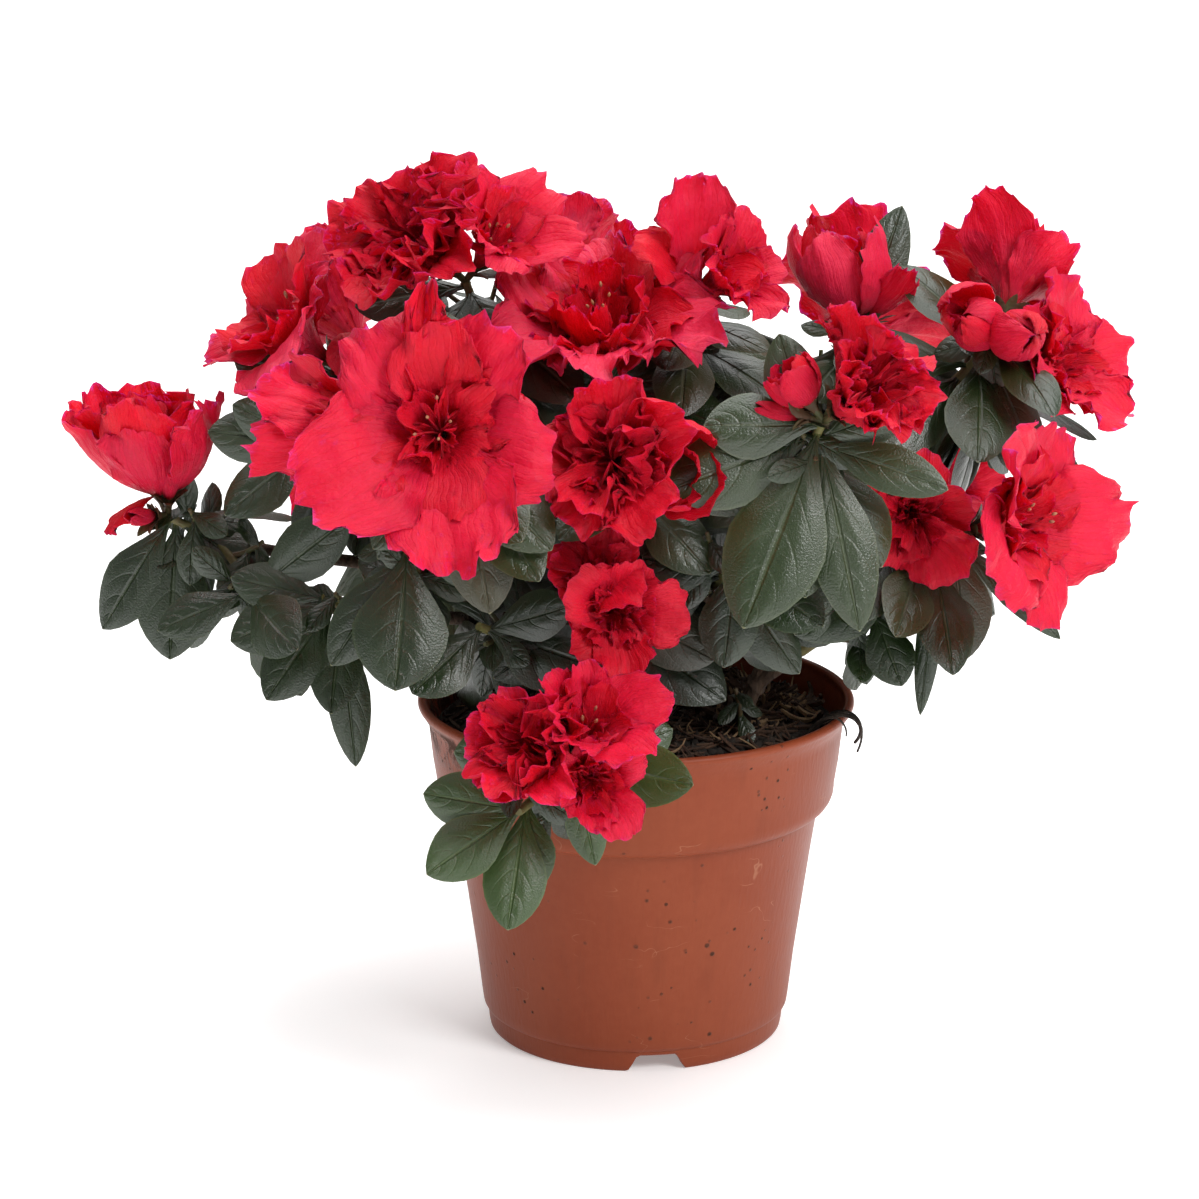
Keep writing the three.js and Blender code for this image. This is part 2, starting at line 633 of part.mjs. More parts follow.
// A leaf that has no room where it grows turns round its shoot, and is left out if that fails.
function growLeaf(spot) {
  const { mass, i, lead } = spot;
  const piece = [0, 1, -1, 2, -2]
    .map((step) => (lead ? ledLeaf(spot, 12 * step) : ruledLeaf(spot, 40 * step)))
    .find((candidate) => isClear(candidate, mass.name, i));
  if (piece) mass.pieces.push(place(mass.name, piece, i));
}

growStem("trunk", trunk);
growStem("side_stem", sideStem);
solids.set("pot", place("pot", potSolid()));
solids.set("soil", place("soil", soilSolid()));
masses.forEach((mass, index) => {
  mass.random = seeded(index + 1);
  mass.lines = growBough(mass);
});
for (const mass of masses) mass.pieces = growTwigs(mass);
for (const mass of masses) growBlooms(mass);
const leaves = masses.flatMap(listLeaves);
leaves.filter(({ lead }) => lead).forEach(growLeaf);
leaves.filter(({ lead }) => !lead).forEach(growLeaf);
for (const mass of masses) solids.set(mass.name, fuse(mass.pieces));

// ---------------------------------------------------------------- the scene graph

const finishes = {
  plastic: { color: "#a85a42", roughness: 0.55 },
  peat: { color: "#2a1c15", roughness: 0.95 },
  bark: { color: "#6a4a3a", roughness: 0.85 },
  foliage: { color: "#3d5a36", roughness: 0.6 },
};

function finishOf(name) {
  if (name === "pot") return "plastic";
  if (name === "soil") return "peat";
  return stems.has(name) || name.startsWith("bough_") ? "bark" : "foliage";
}

const plant = new THREE.Group();
for (const [name, solid] of solids) {
  const material = new THREE.MeshStandardMaterial({ ...finishes[finishOf(name)], metalness: 0 });
  const mesh = new THREE.Mesh(geometryOf(solid), material);
  mesh.name = name;
  plant.add(mesh);
}

export default plant;
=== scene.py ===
import bpy
import numpy as np
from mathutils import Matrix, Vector


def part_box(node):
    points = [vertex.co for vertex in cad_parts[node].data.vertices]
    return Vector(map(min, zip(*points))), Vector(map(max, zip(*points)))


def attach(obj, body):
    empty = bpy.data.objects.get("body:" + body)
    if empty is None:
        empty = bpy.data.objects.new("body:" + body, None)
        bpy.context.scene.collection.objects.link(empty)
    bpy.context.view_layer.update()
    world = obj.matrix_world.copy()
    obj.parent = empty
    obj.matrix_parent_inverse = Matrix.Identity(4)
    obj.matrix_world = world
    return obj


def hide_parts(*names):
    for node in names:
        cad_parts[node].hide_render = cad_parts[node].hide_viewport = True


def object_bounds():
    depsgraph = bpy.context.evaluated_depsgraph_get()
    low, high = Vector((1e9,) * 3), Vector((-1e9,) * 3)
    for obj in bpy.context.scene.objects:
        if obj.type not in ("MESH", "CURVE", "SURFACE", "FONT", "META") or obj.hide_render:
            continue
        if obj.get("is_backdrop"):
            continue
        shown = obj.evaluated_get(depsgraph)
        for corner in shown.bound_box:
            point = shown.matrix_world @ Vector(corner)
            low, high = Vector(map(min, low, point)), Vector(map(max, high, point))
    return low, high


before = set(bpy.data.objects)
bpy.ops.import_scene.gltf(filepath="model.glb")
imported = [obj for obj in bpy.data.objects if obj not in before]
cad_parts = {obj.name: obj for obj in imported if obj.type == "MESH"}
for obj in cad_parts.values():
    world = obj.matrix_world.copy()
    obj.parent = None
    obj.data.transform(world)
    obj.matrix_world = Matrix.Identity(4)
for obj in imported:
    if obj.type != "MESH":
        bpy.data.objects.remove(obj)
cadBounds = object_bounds()
print("frame loaded:", len(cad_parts), "solids")

# Shapes are worked out in millimetres, +Z up, the front towards -Y, and turned to metres as each
# mesh is made. The middle of the pot's underside is the origin.
mm = 0.001
up = np.array([0.0, 0.0, 1.0])
potHigh = np.array(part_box("pot")[1]) / mm
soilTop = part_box("soil")[1].z / mm
gap = 0.3  # air between a limb and what it grows from
heart = np.array([0.0, 0.0, 112.0])  # the shoots point away from here


# A vector over its own length.
def unit(vectors):
    return vectors / np.maximum(np.linalg.norm(vectors, axis=-1, keepdims=True), 1e-9)


# turn is degrees round from +X, lift is degrees above level.
def direction(turn, lift):
    t, l = np.radians(turn), np.radians(lift)
    return np.stack([np.cos(t) * np.cos(l), np.sin(t) * np.cos(l), np.sin(l)], axis=-1)


# Two directions square to each axis: the first is level, and the second square to both.
def crossAxes(axis):
    axis = np.asarray(axis, float)
    across = np.where(np.abs(axis[..., 2:]) > 0.95, [1.0, 0.0, 0.0], unit(np.cross(up, axis)))
    return across, unit(np.cross(axis, across))


# The direction at an angle round an axis: cos(turn) to one side and sin(turn) to the other.
def roundAxis(side, other, turn):
    return side * np.cos(turn) + other * np.sin(turn)


# A repeatable run of numbers from 0 to 1: each state is the last times 16807, within 2147483647.
def seeded(seed):
    state = (seed * 7919 + 17) * 16807 % 2147483647
    while True:
        state = state * 16807 % 2147483647
        yield state / 2147483647


# A soft random field: the sum of twelve plane waves with random directions and starts.
def lumpy(points, size, seed):
    chance = np.random.default_rng(seed)
    waves = unit(chance.normal(size=(12, 3))) * chance.uniform(0.6, 1.7, (12, 1)) * 2 * np.pi / size
    return np.sin(points @ waves.T + chance.uniform(0, 2 * np.pi, 12)).mean(axis=-1) * 2.2


# Three soft random fields, for pushing points about.
def shaken(points, size, seeds):
    return np.stack([lumpy(points, size, seed) for seed in seeds], axis=-1)


# A smooth step from 0 at low to 1 at high: 3x^2 - 2x^3.
def smooth(low, high, x):
    x = np.clip((x - low) / (high - low), 0, 1)
    return x * x * (3 - 2 * x)


# A Bezier curve: its three or four corners times their Bernstein weights.
def bezier(corners, count=60):
    t = np.linspace(0, 1, count)[:, None]
    a = [np.asarray(corner, float) for corner in corners]
    if len(a) == 3:
        return (1 - t) ** 2 * a[0] + 2 * t * (1 - t) * a[1] + t**2 * a[2]
    return (1 - t) ** 3 * a[0] + 3 * t * (1 - t) ** 2 * a[1] + 3 * t**2 * (1 - t) * a[2] + t**3 * a[3]


# The sum of the steps along a line.
def lengthOf(line):
    return np.linalg.norm(np.diff(line, axis=0), axis=1).sum()


# Points at shares of a line's own length.
def pointsAt(line, shares):
    steps = np.linalg.norm(np.diff(line, axis=0), axis=1)
    along = np.concatenate([[0], np.cumsum(steps)]) / steps.sum()
    return np.stack([np.interp(shares, along, line[:, i]) for i in range(3)], axis=-1)


# The direction of a line at a share of its length.
def headingAt(line, share):
    ends = pointsAt(line, np.clip([share - 0.01, share + 0.01], 0, 1))
    return unit(ends[1] - ends[0])


# The quads of a grid of corner numbers. They look the way that its rows cross its columns.
def quadsOf(grid):
    return np.stack([grid[:-1, :-1], grid[1:, :-1], grid[1:, 1:], grid[:-1, 1:]], axis=-1).reshape(-1, 4)


# One pattern of faces for each of `copies` shapes that have `size` points each.
def repeated(faces, copies, size):
    return (faces[None] + (np.arange(copies) * size)[:, None, None]).reshape(-1, faces.shape[1])


# The quads of a sheet, and eight triangles: each corner quad is split inwards from the corner, so
# that front and back share nothing but their border.
def sheetFaces(grid):
    quads = quadsOf(grid)
    last = grid.shape[1] - 2
    corners = [0, last, len(quads) - 1 - last, len(quads) - 1]
    turned = np.array([np.roll(quads[corner], -first) for corner, first in zip(corners, (0, 3, 1, 2))])
    return np.delete(quads, corners, axis=0), np.concatenate([turned[:, [0, 1, 2]], turned[:, [0, 2, 3]]])


# Closed thin sheets from grids of front points, sheets x rows x columns x 3. The back lies `thick`
# behind the front along the grid's own normal, and front and back share their border.
def sheets(front, thick, frontMaterial=0, backMaterial=0):
    count, rows, columns = front.shape[:3]
    normal = unit(np.cross(np.gradient(front, axis=1), np.gradient(front, axis=2)))
    back = (front - normal * thick)[:, 1:-1, 1:-1]
    u, v = np.meshgrid(np.linspace(0, 1, rows), np.linspace(0, 1, columns), indexing="ij")
    uv = np.stack([u, v], axis=-1)
    number = np.arange(rows * columns).reshape(rows, columns)
    behind = number.copy()
    behind[1:-1, 1:-1] = rows * columns + np.arange((rows - 2) * (columns - 2)).reshape(rows - 2, -1)
    points = np.concatenate([front.reshape(count, -1, 3), back.reshape(count, -1, 3)], axis=1)
    uvs = np.concatenate([uv.reshape(-1, 2), uv[1:-1, 1:-1].reshape(-1, 2)])
    size = points.shape[1]
    faces = [(repeated(faces, count, size), frontMaterial) for faces in sheetFaces(number)]
    faces += [(repeated(faces[:, ::-1], count, size), backMaterial) for faces in sheetFaces(behind)]
    return {"points": points.reshape(-1, 3), "uvs": np.tile(uvs, (count, 1)), "faces": faces}


# Round tubes along lines, tubes x steps x 3, with a radius at each step. A ring's points are the
# line's point plus radius * cos(angle) to one side and radius * sin(angle) to the other. relief
# scales each point's radius, and a point in the middle closes each end.
def tubes(lines, radii, sides, material=0, relief=None):
    count, steps = lines.shape[:2]
    heading = unit(np.gradient(lines, axis=1))
    chord = unit(lines[:, -1] - lines[:, 0])[:, None]
    rough = np.where(np.abs(chord[..., 2:]) > 0.7, [1.0, 0.0, 0.0], [0.0, 0.0, 1.0])
    side = unit(rough - (rough * heading).sum(-1, keepdims=True) * heading)
    other = np.cross(heading, side)
    angle = np.linspace(0, 2 * np.pi, sides, endpoint=False)[:, None]
    radius = radii[..., None, None] * (1 if relief is None else relief[..., None])
    around = np.cos(angle) * side[:, :, None] + np.sin(angle) * other[:, :, None]
    rings = lines[:, :, None] + radius * around
    ring = np.arange(steps * sides).reshape(steps, sides)
    wound = np.concatenate([ring, ring[:, :1]], axis=1)
    foot, head = steps * sides, steps * sides + 1
    low = np.stack([np.full(sides, foot), wound[0, 1:], wound[0, :-1]], axis=-1)
    high = np.stack([np.full(sides, head), wound[-1, :-1], wound[-1, 1:]], axis=-1)
    along = np.repeat(np.linspace(0, 1, steps), sides)
    uvs = np.stack([along, np.tile(np.arange(sides) / sides, steps)], -1)
    size = steps * sides + 2
    points = np.concatenate([rings.reshape(count, -1, 3), lines[:, :1], lines[:, -1:]], axis=1)
    return {
        "points": points.reshape(-1, 3),
        "uvs": np.tile(np.concatenate([uvs, [[0, 0], [1, 0]]]), (count, 1)),
        "faces": [
            (repeated(quadsOf(wound)[:, ::-1], count, size), material),
            (repeated(np.concatenate([low, high]), count, size), material),
        ],
    }


# Turns a profile round +Z: a point is (r cos a, r sin a, z). The profile starts and ends on the
# axis, at heights first and last, and runs so that its left hand is the outside.
def lathe(profile, first, last, sides):
    angle = np.linspace(0, 2 * np.pi, sides, endpoint=False)[:, None]
    radius, height = profile[:, 0], profile[:, 1]
    grid = np.stack([radius * np.cos(angle), radius * np.sin(angle), height + 0 * angle], axis=-1)
    number = np.arange(sides * len(profile)).reshape(sides, -1)
    wound = np.concatenate([number, number[:1]])
    start, end = sides * len(profile), sides * len(profile) + 1
    low = np.stack([np.full(sides, start), wound[:-1, 0], wound[1:, 0]], axis=-1)
    high = np.stack([np.full(sides, end), wound[1:, -1], wound[:-1, -1]], axis=-1)
    u, v = np.meshgrid(np.arange(sides) / sides, np.linspace(0, 1, len(profile)), indexing="ij")
    return {
        "points": np.concatenate([grid.reshape(-1, 3), [[0, 0, first], [0, 0, last]]]),
        "uvs": np.concatenate([np.stack([u, v], -1).reshape(-1, 2), [[0, 0], [0, 1]]]),
        "faces": [(quadsOf(wound)[:, ::-1], 0), (np.concatenate([low, high]), 0)],
    }


# Puts parts into one mesh object that rides on the plant and stands for some of its solids.
def makePiece(name, parts, materials, replaced=(), sharpAngle=70):
    points = np.concatenate([part["points"] for part in parts])
    uvs = np.concatenate([part["uvs"] for part in parts])
    starts = np.cumsum([0] + [len(part["points"]) for part in parts])
    groups = [(faces + start, m) for part, start in zip(parts, starts) for faces, m in part["faces"]]
    corners = np.concatenate([faces.ravel() for faces, m in groups])
    counts = np.concatenate([np.full(len(faces), faces.shape[1]) for faces, m in groups])
    numbers = np.concatenate([np.full(len(faces), m) for faces, m in groups])
    mesh = bpy.data.meshes.new(name)
    mesh.vertices.add(len(points))
    mesh.vertices.foreach_set("co", (points * mm).astype(np.float32).ravel())
    mesh.loops.add(len(corners))
    mesh.loops.foreach_set("vertex_index", corners.astype(np.int32))
    mesh.polygons.add(len(counts))
    mesh.polygons.foreach_set("loop_start", np.append(0, np.cumsum(counts)[:-1]).astype(np.int32))
    mesh.polygons.foreach_set("material_index", numbers.astype(np.int32))
    mesh.update(calc_edges=True)
    mesh.uv_layers.new(name="UVMap").data.foreach_set("uv", uvs[corners].astype(np.float32).ravel())
    mesh.shade_smooth()
    mesh.set_sharp_from_angle(angle=np.radians(sharpAngle))
    for material in materials:
        mesh.materials.append(material)
    piece = bpy.data.objects.new(name, mesh)
    bpy.context.scene.collection.objects.link(piece)
    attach(piece, "root")
    if replaced:
        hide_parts(*replaced)
    print(f"{name}: {len(counts)} faces")
    return piece


# Adds a node. Its inputs are given by name or number, as a value or as another node's socket.
def addNode(tree, kind, inputs=None, **settings):
    made = tree.nodes.new(kind)
    for name, value in settings.items():
        setattr(made, name, value)
    for key, value in (inputs or {}).items():
        if isinstance(value, bpy.types.NodeSocket):
            tree.links.new(value, made.inputs[key])
        else:
            made.inputs[key].default_value = value
    return made


# A maths node over plain values or sockets, in their order.
def maths(tree, operation, *values, clamp=False):
    inputs = dict(enumerate(values))
    return addNode(tree, "ShaderNodeMath", inputs, operation=operation, use_clamp=clamp).outputs[0]


def times(tree, first, second):
    return maths(tree, "MULTIPLY", first, second)


# How far a number is from half way between two whole ones.
def fromHalf(tree, value):
    return maths(tree, "ABSOLUTE", maths(tree, "SUBTRACT", maths(tree, "FRACT", value), 0.5))


# A share of the way from one colour socket to a plain colour.
def mixColor(tree, share, first, second):
    inputs = {0: share, 6: first, 7: (*second, 1)}
    return addNode(tree, "ShaderNodeMix", inputs, data_type="RGBA").outputs[2]


# A mask that climbs smoothly from 0 to 1 as value goes from low to high.
def ramp(tree, value, low, high):
    inputs = {"Value": value, "From Min": low, "From Max": high}
    return addNode(tree, "ShaderNodeMapRange", inputs, interpolation_type="SMOOTHSTEP").outputs[0]


# A mask that falls smoothly from 1 to 0 as value goes from low to high.
def fall(tree, value, low, high):
    return maths(tree, "SUBTRACT", 1.0, ramp(tree, value, low, high))


# Cloudy noise from 0 to 1, where scale is the clouds to one unit of place.
def noise(tree, place, scale, detail=4.0, roughness=0.55, distortion=0.0):
    inputs = {
        "Vector": place, "Scale": scale, "Detail": detail, "Roughness": roughness, "Distortion": distortion,
    }
    return addNode(tree, "ShaderNodeTexNoise", inputs).outputs[0]


# Round dots: 1 within low of the middle of a random cell, and 0 beyond high.
def dots(tree, place, scale, low, high):
    cells = addNode(tree, "ShaderNodeTexVoronoi", {"Vector": place, "Scale": scale, "Randomness": 1.0})
    return fall(tree, cells.outputs["Distance"], low, high)


# The X, Y and Z of a vector.
def partsOf(tree, vector):
    return addNode(tree, "ShaderNodeSeparateXYZ", {0: vector}).outputs


# A place on the piece, whose pattern is drawn out along an axis where stretch is under 1.
def objectPlace(tree, stretch=(1, 1, 1)):
    place = addNode(tree, "ShaderNodeTexCoord").outputs["Object"]
    if stretch == (1, 1, 1):
        return place
    return addNode(tree, "ShaderNodeMapping", {"Vector": place, "Scale": stretch}).outputs[0]


def pieceUv(tree):
    return addNode(tree, "ShaderNodeUVMap", uv_map="UVMap").outputs[0]


# A node group with named sockets: inputs maps a name to its socket type and value.
def newGroup(name, inputs, outputs):
    group = bpy.data.node_groups.new(name, "ShaderNodeTree")
    for label, (kind, value) in inputs.items():
        socket = group.interface.new_socket(label, in_out="INPUT", socket_type="NodeSocket" + kind)
        if value is not None:
            socket.default_value = value
    for label, kind in outputs.items():
        group.interface.new_socket(label, in_out="OUTPUT", socket_type="NodeSocket" + kind)
    return group, group.nodes.new("NodeGroupInput").outputs, group.nodes.new("NodeGroupOutput").inputs


# Uneven colour: broad clouds and fine grain move a base colour towards a second one.
def mottleGroup():
    group, given, result = newGroup("mottle", {
        "Vector": ("Vector", None), "Base": ("Color", (0.5, 0.5, 0.5, 1)),
        "Tint": ("Color", (0.3, 0.3, 0.3, 1)), "Cloud scale": ("Float", 30.0),
        "Grain scale": ("Float", 600.0), "Amount": ("Float", 0.5),
    }, {"Color": "Color", "Mask": "Float"})
    cloud = ramp(group, noise(group, given["Vector"], given["Cloud scale"], 3.0), 0.35, 0.68)
    grain = ramp(group, noise(group, given["Vector"], given["Grain scale"], 2.0), 0.3, 0.75)
    mask = maths(group, "ADD", times(group, cloud, 0.7), times(group, grain, 0.3))
    share = maths(group, "MULTIPLY", mask, given["Amount"], clamp=True)
    inputs = {0: share, 6: given["Base"], 7: given["Tint"]}
    mixed = addNode(group, "ShaderNodeMix", inputs, data_type="RGBA").outputs[2]
    group.links.new(mixed, result["Color"])
    group.links.new(mask, result["Mask"])
    return group


# A leaf's veins from its UV map: a rib along the middle, and side veins that leave it at a slant.
# A side vein lies where count * (u - 0.26 * distance from the rib ^ 1.5) is half past a whole
# number. The height sinks along the veins and swells between them.
def leafVeinGroup():
    group, given, result = newGroup("leafVeins", {
        "UV": ("Vector", None), "Count": ("Float", 7.0),
    }, {"Rib": "Float", "Veins": "Float", "Away": "Float", "Height": "Float"})
    parts = partsOf(group, given["UV"])
    away = maths(group, "ABSOLUTE", maths(group, "MULTIPLY_ADD", parts["Y"], 2.0, -1.0))
    rib = fall(group, away, 0.015, 0.09)
    bowed = maths(group, "POWER", away, 1.5)
    slant = maths(group, "SUBTRACT", parts["X"], times(group, bowed, 0.26))
    saw = fromHalf(group, times(group, slant, given["Count"]))
    fade = fall(group, away, 0.35, 0.95)
    veins = times(group, fall(group, saw, 0.0, 0.1), fade)
    pillow = times(group, ramp(group, saw, 0.0, 0.5), fade)
    lower = maths(group, "ADD", rib, times(group, veins, 0.22))
    height = maths(group, "SUBTRACT", times(group, pillow, 0.22), lower)
    for name, value in {"Rib": rib, "Away": away, "Veins": veins, "Height": height}.items():
        group.links.new(value, result[name])
    return group


# Fine veins that run up a petal and wander a little, long streaks beside them, and soft crinkles. A
# vein lies where count * v plus a little noise is half past a whole number.
def petalVeinGroup():
    group, given, result = newGroup("petalVeins", {
        "UV": ("Vector", None), "Vector": ("Vector", None), "Count": ("Float", 26.0),
    }, {"Veins": "Float", "Streaks": "Float", "Height": "Float"})
    parts = partsOf(group, given["UV"])
    wander = times(group, noise(group, given["Vector"], 240.0, 2.0), 0.9)
    turn = maths(group, "ADD", times(group, parts["Y"], given["Count"]), wander)
    veins = fall(group, fromHalf(group, turn), 0.0, 0.22)
    crinkle = noise(group, given["Vector"], 460.0, 5.0, 0.62)
    inputs = {"Vector": given["UV"], "Scale": (2.6, 17.0, 1.0)}
    long = addNode(group, "ShaderNodeMapping", inputs).outputs[0]
    streaks = ramp(group, noise(group, long, 1.0, 4.0, 0.6), 0.35, 0.68)
    height = maths(group, "SUBTRACT", crinkle, times(group, veins, 0.15))
    height = maths(group, "ADD", height, times(group, streaks, 0.22))
    for name, value in {"Veins": veins, "Streaks": streaks, "Height": height}.items():
        group.links.new(value, result[name])
    return group


groups = {"mottle": mottleGroup(), "leafVeins": leafVeinGroup(), "petalVeins": petalVeinGroup()}


# Places a shared group in a tree with values of its own, and gives its outputs.
def placeGroup(tree, name, inputs):
    return addNode(tree, "ShaderNodeGroup", inputs, node_tree=groups[name]).outputs


# The mottle group between two plain colours.
def mottled(tree, place, base, tint, cloud, grain, amount):
    return placeGroup(tree, "mottle", {
        "Vector": place, "Base": (*base, 1), "Tint": (*tint, 1),
        "Cloud scale": cloud, "Grain scale": grain, "Amount": amount,
    })


# A material with an empty Principled shader, whose plain values are set on its own sockets.
def newMaterial(name, **values):
    material = bpy.data.materials.new(name)
    material.use_nodes = True
    tree = material.node_tree
    shader = tree.nodes["Principled BSDF"]
    for key, value in values.items():
        shader.inputs[key.replace("_", " ")].default_value = value
    return material, tree, shader


# Relief in the shader's normal: distance is the height in metres that 1 stands for.
def bump(tree, shader, height, distance):
    inputs = {"Height": height, "Distance": distance, "Strength": 1.0}
    tree.links.new(addNode(tree, "ShaderNodeBump", inputs).outputs[0], shader.inputs["Normal"])


# Coloured fibre, bark or crumbs: a base colour clouded by a second one, over a rough surface.
def roughMaterial(name, base, tint, cloud, grain, relief=0.0004, roughness=0.9, stretch=(1, 1, 1)):
    material, tree, shader = newMaterial(name, Roughness=roughness)
    mottle = mottled(tree, objectPlace(tree, stretch), base, tint, cloud, grain, 1.0)
    tree.links.new(mottle["Color"], shader.inputs["Base Color"])
    bump(tree, shader, mottle["Mask"], relief)
    return material


# The near black colour, and the distances in metres over which it fades out, darken the leaves near the
# plant's heart: painted shade for the inside of the bush.
leafSkin = {
    "tip": (0.3, 0.3, 0.16), "stalk": (0.16, 0.17, 0.05), "paintedInnerShade": (0.003, 0.006, 0.001),
    "paintedInnerShadeWithin": (0.035, 0.075), "relief": 0.0004,
}


# Leaf skin: dark between paler veins, with a pale dot at the tip, a yellowish stalk, a pale hairy
# edge and a soft gloss. Leaves near the plant's heart are darkened: painted shade for the inside of the
# bush.
def leafMaterial(name, base, tint, vein, roughness):
    material, tree, shader = newMaterial(name, Roughness=roughness, Specular_IOR_Level=0.85)
    uv, place = pieceUv(tree), objectPlace(tree)
    lines = placeGroup(tree, "leafVeins", {"UV": uv, "Count": 7.0})
    mottle = mottled(tree, place, base, tint, 55.0, 1400.0, 0.9)
    ribbed = maths(tree, "MAXIMUM", times(tree, lines["Rib"], 0.4), times(tree, lines["Veins"], 0.09))
    colour = mixColor(tree, ribbed, mottle["Color"], vein)
    along = partsOf(tree, uv)["X"]
    colour = mixColor(tree, ramp(tree, along, 0.975, 1.0), colour, leafSkin["tip"])
    colour = mixColor(tree, fall(tree, along, 0.02, 0.12), colour, leafSkin["stalk"])
    colour = mixColor(tree, times(tree, ramp(tree, lines["Away"], 0.9, 1.0), 0.5), colour, vein)
    # Painted shade: leaves are darkened three quarters of the way to near black within 35 mm of the plant's
    # heart, fading out by 75 mm.
    inputs = {0: place, 1: tuple(heart * mm)}
    away = addNode(tree, "ShaderNodeVectorMath", inputs, operation="DISTANCE").outputs["Value"]
    paintedInnerShade = times(tree, fall(tree, away, *leafSkin["paintedInnerShadeWithin"]), 0.75)
    tree.links.new(mixColor(tree, paintedInnerShade, colour, leafSkin["paintedInnerShade"]), shader.inputs["Base Color"])
    rough = maths(tree, "MULTIPLY_ADD", mottle["Mask"], 0.16, roughness - 0.06)
    tree.links.new(rough, shader.inputs["Roughness"])
    hairs = noise(tree, place, 1900.0, 2.0)
    bump(tree, shader, maths(tree, "MULTIPLY_ADD", hairs, 0.45, lines["Height"]), leafSkin["relief"])
    return material


# Petal skin: velvety red, darkened towards the throat as painted shade, a little pinker in clouds, with
# fine darker veins.
def petalMaterial(name, base, pink, veinAndThroatShade):
    material, tree, shader = newMaterial(
        name, Roughness=0.52, Sheen_Weight=0.04, Sheen_Roughness=0.35, Sheen_Tint=(1.0, 0.45, 0.55, 1),
        Subsurface_Weight=0.3, Subsurface_Radius=(0.004, 0.0004, 0.0006), Subsurface_Scale=1.0,
        Specular_IOR_Level=0.22,
    )
    uv, place = pieceUv(tree), objectPlace(tree)
    lines = placeGroup(tree, "petalVeins", {"UV": uv, "Vector": place, "Count": 26.0})
    mottle = mottled(tree, place, base, pink, 60.0, 900.0, 0.75)
    # Painted shade: each petal darkens towards its foot, where the bloom's throat lies in shade; the darker
    # veins and streaks take the same colour.
    throatShade = fall(tree, partsOf(tree, uv)["X"], 0.02, 0.36)
    dark = maths(tree, "MAXIMUM", times(tree, lines["Veins"], 0.10), times(tree, lines["Streaks"], 0.14))
    colour = mixColor(tree, maths(tree, "MAXIMUM", throatShade, dark), mottle["Color"], veinAndThroatShade)
    tree.links.new(colour, shader.inputs["Base Color"])
    bump(tree, shader, lines["Height"], 0.0005)
    return material


leafLooks = {  # base, tint, vein, roughness
    "leafDark": ((0.008, 0.021, 0.003), (0.017, 0.035, 0.007), (0.050, 0.074, 0.026), 0.34),
    "leafGrey": ((0.017, 0.033, 0.007), (0.030, 0.048, 0.014), (0.080, 0.102, 0.048), 0.33),
    "leafFresh": ((0.022, 0.050, 0.005), (0.034, 0.070, 0.010), (0.090, 0.140, 0.035), 0.38),
    "leafBronze": ((0.026, 0.029, 0.008), (0.042, 0.040, 0.014), (0.085, 0.078, 0.036), 0.38),
    "leafUnder": ((0.036, 0.060, 0.017), (0.050, 0.080, 0.025), (0.095, 0.125, 0.050), 0.60),
}
# The third colour of each look is the colour of the darker veins and of the painted shade in the throat.
petalLooks = {  # base, pink, deep
    "petalBright": ((0.69, 0.004, 0.033), (0.74, 0.011, 0.058), (0.36, 0.002, 0.006)),
    # A darker red for blooms that sit in shade: partly their own deeper colour, partly painted shade.
    "petalDeep": ((0.62, 0.003, 0.020), (0.69, 0.006, 0.032), (0.28, 0.002, 0.006)),
    # A pinker, lighter red: partly the petals' own pinker tone, partly painted light on blooms that would
    # look dull in shade.
    "petalPink": ((0.72, 0.009, 0.048), (0.77, 0.024, 0.082), (0.46, 0.003, 0.014)),
    "petalHeart": ((0.68, 0.003, 0.018), (0.72, 0.006, 0.034), (0.38, 0.002, 0.006)),
}
roughLooks = {  # base, tint, cloud scale, grain scale, relief, roughness, stretch
    "peat": ((0.010, 0.007, 0.005), (0.040, 0.026, 0.017), 140.0, 900.0),
    "barkChip": ((0.085, 0.042, 0.022), (0.030, 0.016, 0.010), 200.0, 1200.0),
    "paleRoot": ((0.30, 0.19, 0.10), (0.16, 0.09, 0.045), 160.0, 900.0),
    "bark": ((0.100, 0.060, 0.036), (0.035, 0.020, 0.013), 260.0, 1500.0, 0.0007, 0.9, (1, 1, 0.3)),
    "greenShoot": ((0.150, 0.150, 0.040), (0.105, 0.070, 0.028), 90.0, 900.0, 0.0002, 0.6),
    "sepal": ((0.075, 0.085, 0.028), (0.10, 0.040, 0.018), 160.0, 900.0, 0.0002, 0.6),
    "budScale": ((0.110, 0.055, 0.025), (0.050, 0.030, 0.012), 200.0, 900.0, 0.0002, 0.55),
    "anther": ((0.42, 0.20, 0.09), (0.26, 0.07, 0.05), 300.0, 900.0, 0.0001, 0.6),
}
finishes = {}
for maker, looks in ((leafMaterial, leafLooks), (petalMaterial, petalLooks), (roughMaterial, roughLooks)):
    finishes.update({name: maker(name, *look) for name, look in looks.items()})


# The pot's plastic: a dull orange brown that pales with wear, with darker upright streaks, splashed
# specks, a darker broken band just under the rim on the left side, and thin pale scuffs.
potLook = {
    "base": (0.225, 0.042, 0.014), "worn": (0.272, 0.064, 0.026), "shade": (0.170, 0.034, 0.012),
    "soil": (0.030, 0.017, 0.010), "dust": (0.40, 0.17, 0.095),
}


